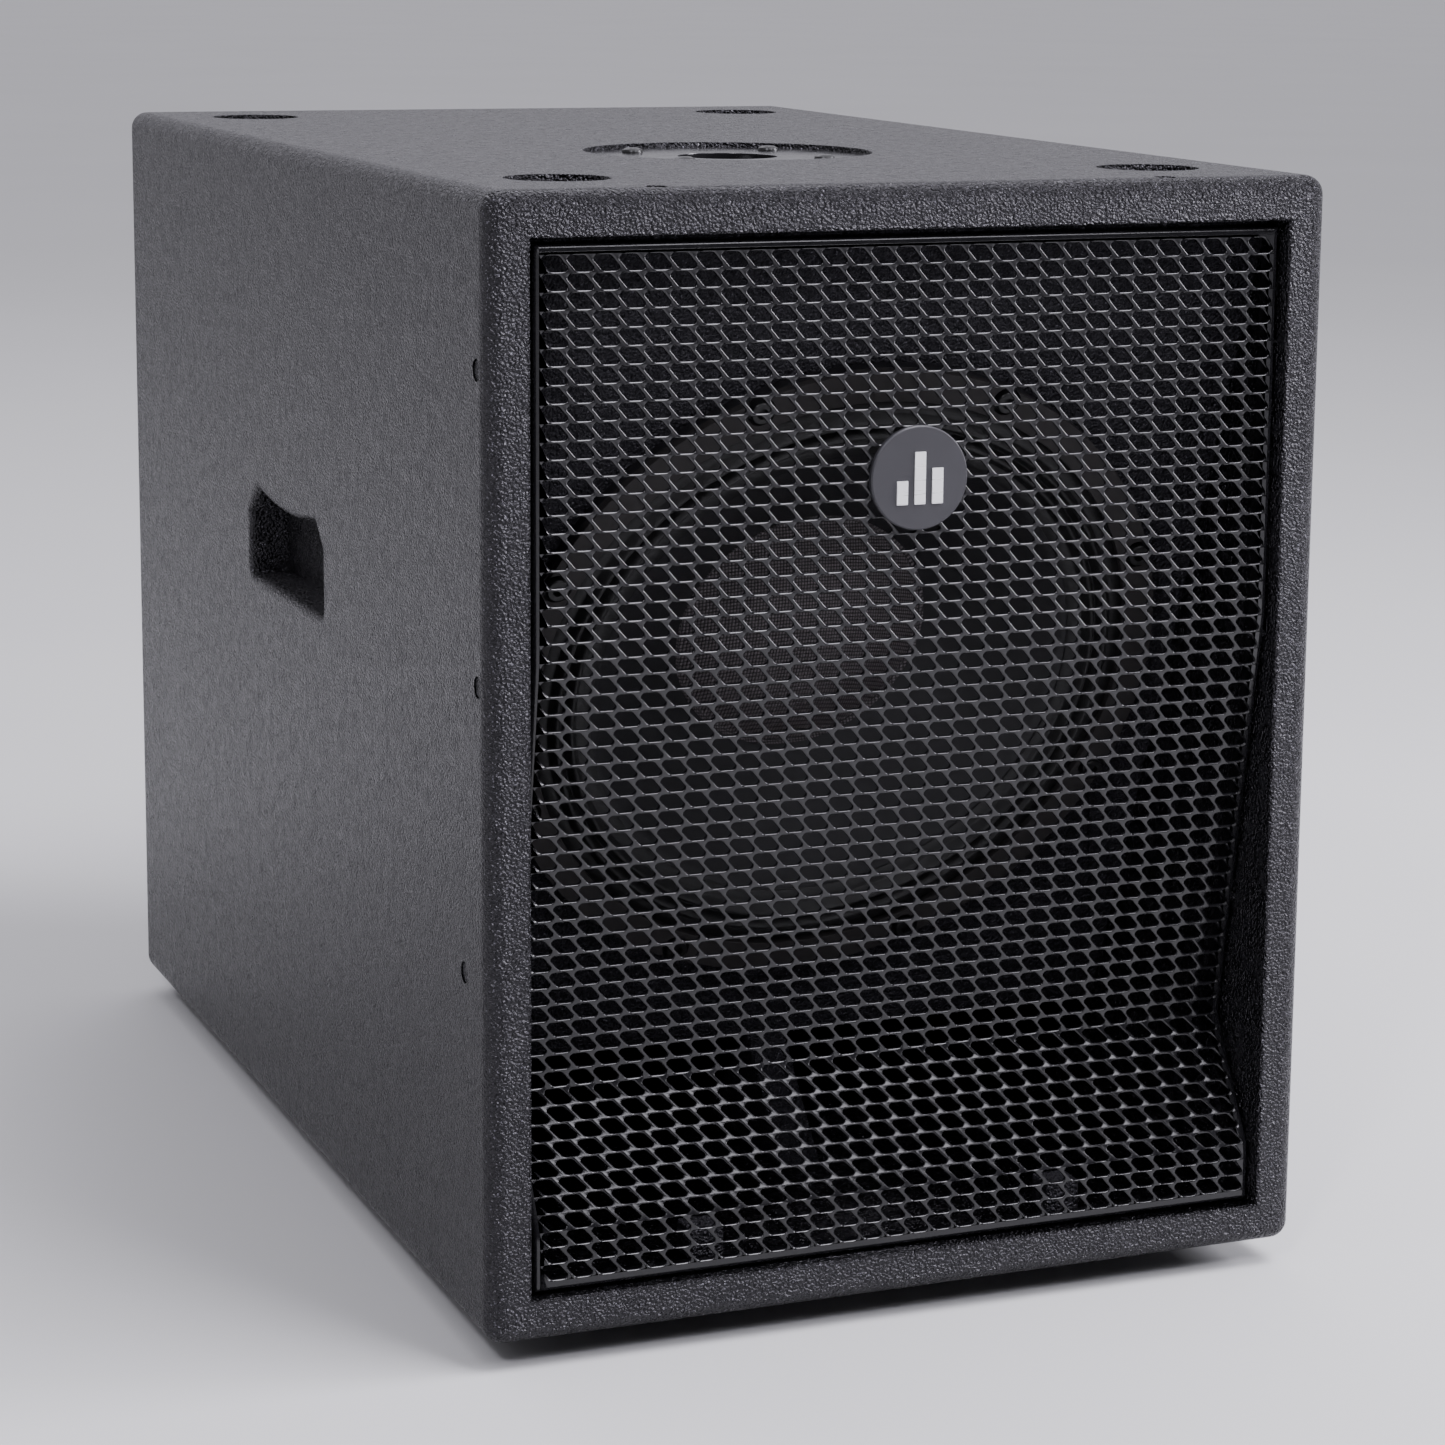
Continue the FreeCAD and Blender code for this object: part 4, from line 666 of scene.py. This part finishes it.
def shell_tools(pole_y, pole_floor):
    """Everything that is cut out of the block at once: the inside, handles, cups and screw dimples."""
    tools = bmesh.new()
    inner = span("baffle")[0].x
    box_mesh(tools, (inner, FRONT - 0.02, BASE + PANEL), (-inner, BACK + 0.02, TOP - PANEL))
    half_mouth, half_height, outside = 64.0 * MM, 21.5 * MM, 4.0 * MM
    for side in (-1, 1):
        mouth = handle_outline(side * (SHELL_HIGH.x + outside), HANDLE, half_mouth, half_height)
        prism_mesh(tools, mouth, (-side * 30 * MM, 0, 0))
    foot_radius, cup_radius, cup_depth = 19.0 * MM, 22.5 * MM, 9.0 * MM
    feet_high = span("rubber_feet")[1]
    cup_x, cup_y = feet_high.x - foot_radius, feet_high.y - foot_radius
    for sx, sy in ((-1, -1), (1, -1), (1, 1), (-1, 1)):
        prism_mesh(tools, disc_outline(sx * cup_x, sy * cup_y, TOP - cup_depth, cup_radius), (0, 0, THROUGH))
    prism_mesh(tools, disc_outline(0.0, pole_y, pole_floor, 67.0 * MM, 120), (0, 0, THROUGH))
    # dimples where the grille's painted screws sit: three in each side, two in the top and the bottom
    radius, deep, clear = 4.6 * MM, 2.5 * MM, 3.0 * MM
    for height, back_by in ((406.3, 12.0), (277.7, 12.0), (153.9, 31.0)):
        for side in (-1, 1):
            outline = [(side * (SHELL_HIGH.x + clear), FRONT + back_by * MM + y, BASE + height * MM + z)
                       for y, z, _ in disc_outline(0.0, 0.0, 0.0, radius, 24)]
            prism_mesh(tools, outline, (-side * (clear + deep), 0, 0))
    for side in (-1, 1):
        for height in (TOP - deep, BASE - clear):
            outline = disc_outline(side * 115.0 * MM, FRONT + 10.0 * MM, height, radius, 24)
            prism_mesh(tools, outline, (0, 0, clear + deep))
    return tools


def round_edges(mesh, width, place):
    """Rounds the sharp edges whose middle is at a chosen place."""
    chosen = []
    for edge in mesh.edges:
        if len(edge.link_faces) == 2 and edge.calc_face_angle(0.0) > math.radians(40):
            if place((edge.verts[0].co + edge.verts[1].co) / 2):
                chosen.append(edge)
    bmesh.ops.bevel(mesh, geom=chosen, offset=width, segments=4, profile=0.5, affect="EDGES",
                    clamp_overlap=True)


def cabinet_shell():
    """The outer box in one coated skin: rounded edges, open front and back, handles, cups and pole recess."""
    shell = bmesh.new()
    box_mesh(shell, SHELL_LOW, SHELL_HIGH)
    bmesh.ops.recalc_face_normals(shell, faces=shell.faces)
    bmesh.ops.bevel(shell, geom=list(shell.edges), offset=8.5 * MM, segments=8, profile=0.5, affect="EDGES")
    plate_low, plate_high = span("pole_plate")
    pole_y = (plate_low.y + plate_high.y) / 2
    tools = shell_tools(pole_y, plate_low.z)
    result = carved(as_object("shell_block", shell), as_object("shell_cutters", tools))
    drill = bmesh.new()
    prism_mesh(drill, disc_outline(0.0, pole_y, TOP - PANEL - 0.01, 25.5 * MM), (0, 0, 0.05))
    result = carved(as_object("shell_block", result), as_object("pole_drill", drill))
    near = 0.2 * MM
    outer_x = SHELL_HIGH.x - 0.1 * MM
    round_edges(result, 4.5 * MM, lambda p: (abs(p.x) > outer_x and abs(p.y - HANDLE[0]) < 0.07
                                             and abs(p.z - HANDLE[1]) < 0.03))
    round_edges(result, 1.5 * MM, lambda p: abs(p.y - FRONT) < near or abs(p.y - BACK) < near)
    round_edges(result, 1.2 * MM, lambda p: p.z > TOP - near)
    made = as_object("coated_shell", result)
    for face in made.data.polygons:
        face.use_smooth = True
    made.data.materials.append(MATERIALS["coated_plywood"])
    even_shading(made)
    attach(made, ROOT)
    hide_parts("left_side_panel", "right_side_panel", "top_panel", "bottom_panel")


# ---------------------------------------------------------------- woofer

OUTWARD = Vector((0.0, -math.cos(TILT), -math.sin(TILT)))
UPWARD = Vector((0.0, -math.sin(TILT), math.cos(TILT)))
ACROSS = Vector((1.0, 0.0, 0.0))


GASKET_LOW, GASKET_HIGH = span("woofer_gasket")
# where the driver's axis meets the front face of the baffle, 7 mm behind the gasket's middle
MIDDLE = (GASKET_LOW + GASKET_HIGH) / 2 - OUTWARD * 7.0 * MM
NECK, RIM = 51.0, 112.8    # radii of the cone in millimetres


def lathe(name, outline, body, slot, replaced, segments=160, closed=True):
    """A piece turned about the driver's axis from (radius, height) points in millimetres."""
    points, faces, rings = [], [], []
    for radius, height in outline:
        if radius <= 0:
            points.append(MIDDLE + OUTWARD * height * MM)
            rings.append([len(points) - 1])
            continue
        ring = []
        for k in range(segments):
            angle = 2 * math.pi * k / segments
            side = ACROSS * math.cos(angle) + UPWARD * math.sin(angle)
            points.append(MIDDLE + side * radius * MM + OUTWARD * height * MM)
            ring.append(len(points) - 1)
        rings.append(ring)
    pairs = list(zip(rings, rings[1:]))
    if closed:
        pairs.append((rings[-1], rings[0]))
    for first, second in pairs:
        if len(first) == 1 and len(second) == 1:
            continue
        for k in range(segments):
            after = (k + 1) % segments
            if len(first) == 1:
                faces.append((first[0], second[k], second[after]))
            elif len(second) == 1:
                faces.append((first[k], second[0], first[after]))
            else:
                faces.append((first[k], second[k], second[after], first[after]))
    made = piece(name, points, faces, body, slot, replaced=replaced)
    face_outwards(made)
    return made


def cone_line(radius):
    """Height of the cone's face at a radius: a shallow curve from its neck to its rim."""
    share = (radius - NECK) / (RIM - NECK)
    return -41.5 + 45.7 * share - 1.2 * math.sin(math.pi * share)


def cone():
    front, back = [], []
    steps = 20
    for k in range(steps + 1):
        radius = NECK + (RIM - NECK) * k / steps
        front.append((radius, cone_line(radius)))
        back.append((radius + 1.0, cone_line(radius) - 1.4))
    flat = [(114.5, 4.3), (119.0, 4.3), (119.0, 2.8), (114.5, 2.8)]
    lathe("paper_cone", front + flat + list(reversed(back))[1:], "cone_assembly", "cone_paper",
          ("woofer_cone",))


def dust_cap():
    """A dome of mesh with a small flare where it's glued to the cone."""
    radius, rise, half_sheet, steps = 57.0, 16.0, 0.6, 14
    sphere = (radius ** 2 + rise ** 2) / (2 * rise)
    seat = cone_line(radius) + 0.2
    dome, under = [], []
    for k in range(steps + 1):
        across = radius * k / steps
        high = seat + rise - (sphere - math.sqrt(sphere ** 2 - across ** 2))
        dome.append((across, high + half_sheet))
        under.append((across, high - half_sheet))
    flare = [(radius + 1.2, seat + 0.5), (radius + 2.6, cone_line(radius + 2.6) + 0.7),
             (radius + 2.8, cone_line(radius + 2.8) + 0.1)]
    lathe("woven_cap", dome + flare + list(reversed(under)), "cone_assembly", "cap_mesh",
          ("dust_cap",), closed=False)


def surround():
    """Two pleats between the cone and the basket."""
    inner, outer = 113.0, 139.0
    start, end, pleats = inner + 6.6, outer - 6.0, 2
    low, high, sheet, steps = 5.2, 6.0, 0.9, 40
    upper = [(inner, low), (start - 1.0, low)]
    for k in range(steps + 1):
        share = k / steps
        pleat = 5.0 * abs(math.sin(math.pi * share * pleats)) ** 1.25
        upper.append((start + share * (end - start), low + (high - low) * share + pleat))
    upper += [(end + 1.0, high), (outer, high)]
    lower = [(r, h - sheet) for r, h in reversed(upper)]
    ring = lathe("pleated_surround", upper + lower, None, "treated_cloth", ("woofer_surround",), 200)
    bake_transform(ring)
    for vertex in ring.data.vertices:
        off = vertex.co - MIDDLE
        radius = (off - OUTWARD * off.dot(OUTWARD)).length / MM
        share = min(1.0, max(0.0, (end - radius) / (end - start)))


# ---------------------------------------------------------------- printed marks on the rear

def radial_bar(points, faces, centre, angle, reach, width, ends):
    """Adds a thin bar that points away from a knob's axis, from its near to its far reach."""
    away = Vector((math.sin(angle), math.cos(angle)))
    beside = Vector((away.y, -away.x)) * (width / 2)
    outline = [centre + away * reach[0] - beside, centre + away * reach[1] - beside,
               centre + away * reach[1] + beside, centre + away * reach[0] + beside]
    first = len(points)
    for y in ends:
        points.extend((corner.x, y, corner.y) for corner in outline)
    a = [first + k for k in range(8)]
    faces.extend([(a[3], a[2], a[1], a[0]), (a[4], a[5], a[6], a[7])])
    for k in range(4):
        after = (k + 1) % 4
        faces.append((a[k], a[after], a[4 + after], a[4 + k]))


def dial_marks():
    """A pointer on each knob and eleven marks round it on the plate, the end and middle ones longer."""
    marks, turn, proud, slot = 11, math.radians(150.0), 0.12 * MM, "button_plastic"
    plate = span("amp_plate")[1].y
    points, faces = [], []
    for knob, body in (("level_knob", "level_control"), ("crossover_knob", "crossover_control")):
        low, high = span(knob)
        centre = Vector(((low.x + high.x) / 2, (low.z + high.z) / 2))
        radius = (high.x - low.x) / 2
        for k in range(marks):
            longer = 1.2 * MM if k in (0, marks // 2, marks - 1) else 0.0
            radial_bar(points, faces, centre, turn * (2 * k / (marks - 1) - 1),
                       (radius + 2.4 * MM, radius + 4.6 * MM + longer), 0.7 * MM,
                       (plate - 0.2 * MM, plate + proud))
        line_points, line_faces = [], []
        radial_bar(line_points, line_faces, centre, 0.0, (radius * 0.25, radius * 0.82), 1.1 * MM,
                   (high.y - 0.4 * MM, high.y + proud))
        face_outwards(piece(knob + "_pointer", line_points, line_faces, body, slot, smooth=False))
    face_outwards(piece("dial_marks", points, faces, ROOT, slot, smooth=False))


# ---------------------------------------------------------------- softened edges

def soften(name, width):
    """Rounds the sharp edges of a carried-over node a little, as paint or moulding leaves them."""
    node = nodes[name]
    weld = node.modifiers.new("weld", "WELD")
    weld.merge_threshold = 0.00001
    bevel = node.modifiers.new("soften", "BEVEL")
    bevel.width = width
    bevel.segments = 2
    bevel.limit_method = "ANGLE"
    bevel.angle_limit = math.radians(35)
    bevel.use_clamp_overlap = True
    even_shading(node)


# millimetres, and the carried-over nodes that get them
SOFTENED = [
    (1.2, ["baffle", "port_shelf", "port_divider", "rear_panel", "left_handle_pocket", "right_handle_pocket",
           "grille_support_blocks"]),
    (0.35, ["badge_disc", "pole_plate", "woofer_basket", "woofer_gasket", "woofer_bolts",
            "level_knob", "crossover_knob", "xlr_input", "xlr_output", "mains_inlet", "power_switch_frame",
            "power_rocker", "pole_plate_screws", "amp_screws"]),
    (0.15, ["badge_bars", "heat_sink", "polarity_button", "xlr_latch", "status_lamps"]),
    (0.8, ["rubber_feet"]),
]


# ---------------------------------------------------------------- camera, floor and light

def camera():
    """A long lens from the left and a little above, the body square to the picture's uprights."""
    data = bpy.data.cameras.new("camera")
    data.sensor_width = 36.0
    data.lens = 93.90
    data.shift_x = -0.03
    data.shift_y = -0.08
    data.clip_start = 0.05
    yaw, pitch, roll = 0.3893, 0.1803, 0.0099
    forward = Vector((math.sin(yaw) * math.cos(pitch), math.cos(yaw) * math.cos(pitch), -math.sin(pitch)))
    right = Vector((math.cos(yaw), -math.sin(yaw), 0.0))
    down = forward.cross(right)
    across = right * math.cos(roll) - down * math.sin(roll)
    below = right * math.sin(roll) + down * math.cos(roll)
    turn = Matrix((across, -below, -forward)).transposed().to_4x4()
    stands_off = Vector((-1.3550, -3.5986, 0.7203)) * (TOP - BASE)
    seen = bpy.data.objects.new("camera", data)
    bpy.context.scene.collection.objects.link(seen)
    seen.matrix_world = Matrix.Translation((SHELL_LOW + SHELL_HIGH) / 2 + stands_off) @ turn
    bpy.context.scene.camera = seen


SOFT_WHITE = (0.93, 0.915, 1.0)


def soft_light(name, at, towards, width, height, power):
    data = bpy.data.lights.new(name, "AREA")
    data.shape = "RECTANGLE"
    data.size, data.size_y = width, height
    data.energy = power
    data.color = SOFT_WHITE
    lamp = bpy.data.objects.new(name, data)
    lamp.location = at
    lamp.rotation_euler = (Vector(towards) - Vector(at)).to_track_quat("-Z", "Y").to_euler()
    bpy.context.scene.collection.objects.link(lamp)


def surround_light(dim, bright, overhead):
    """A studio that is brighter behind the object than in front of it, under a wide soft ceiling."""
    world = bpy.data.worlds.new("studio")
    bpy.context.scene.world = world
    world.use_nodes = True
    tree = world.node_tree
    sky = tree.nodes["Background"]
    sky.inputs["Color"].default_value = (*SOFT_WHITE, 1.0)
    way = tree.nodes.new("ShaderNodeTexCoord")
    split = tree.nodes.new("ShaderNodeSeparateXYZ")
    both = tree.nodes.new("ShaderNodeMath")
    tree.links.new(way.outputs["Generated"], split.inputs["Vector"])
    # strength of the surround along Y, and of the ceiling along Z
    for i, (axis, low, high, at_low, at_high) in enumerate((("Y", -0.55, 0.75, dim, bright),
                                                            ("Z", 0.5, 0.9, 0.0, overhead))):
        blend = tree.nodes.new("ShaderNodeMapRange")
        blend.interpolation_type = "SMOOTHSTEP"
        for key, value in (("From Min", low), ("From Max", high), ("To Min", at_low), ("To Max", at_high)):
            blend.inputs[key].default_value = value
        tree.links.new(split.outputs[axis], blend.inputs["Value"])
        tree.links.new(blend.outputs["Result"], both.inputs[i])
    tree.links.new(both.outputs["Value"], sky.inputs["Strength"])


def studio():
    """A pale floor that runs out of sight, a pale surround behind it and large soft lights."""
    reach = 60.0
    mesh = bpy.data.meshes.new("floor")
    mesh.from_pydata([(-reach, -reach, 0), (reach, -reach, 0), (reach, reach, 0), (-reach, reach, 0)], [],
                     [(0, 1, 2, 3)])
    floor = bpy.data.objects.new("floor", mesh)
    bpy.context.scene.collection.objects.link(floor)
    m = Shader("floor", Roughness=0.9)
    m.colour(m.noise(1.5, 2.0, 0.5), grey(0.58), grey(0.62))
    mesh.materials.append(m.material)
    surround_light(0.05, 0.62, 1.1)
    soft_light("top", (0.75, -1.15, 2.5), (0, -0.1, 0.25), 1.2, 1.0, 80)
    soft_light("front", (-1.7, -2.4, 2.4), (0, 0, 0.25), 0.35, 0.35, 34)
    soft_light("right", (2.3, -0.85, 1.15), (0, -0.3, 0.25), 0.8, 0.9, 72)
    soft_light("left", (-3.2, -0.6, 1.9), (0, 0, 0.25), 1.6, 1.6, 4)
    soft_light("low", (0.95, -2.2, 1.95), (0, -0.3, 0.15), 0.8, 0.7, 15)
    soft_light("back", (0.6, 2.6, 2.6), (0, 0, 0.3), 2.6, 1.6, 24)


camera()
studio()
grille()
cabinet_shell()
cone()
dust_cap()
surround()
dial_marks()
for width, names in SOFTENED:
    for name in names:
        soften(name, width * MM)
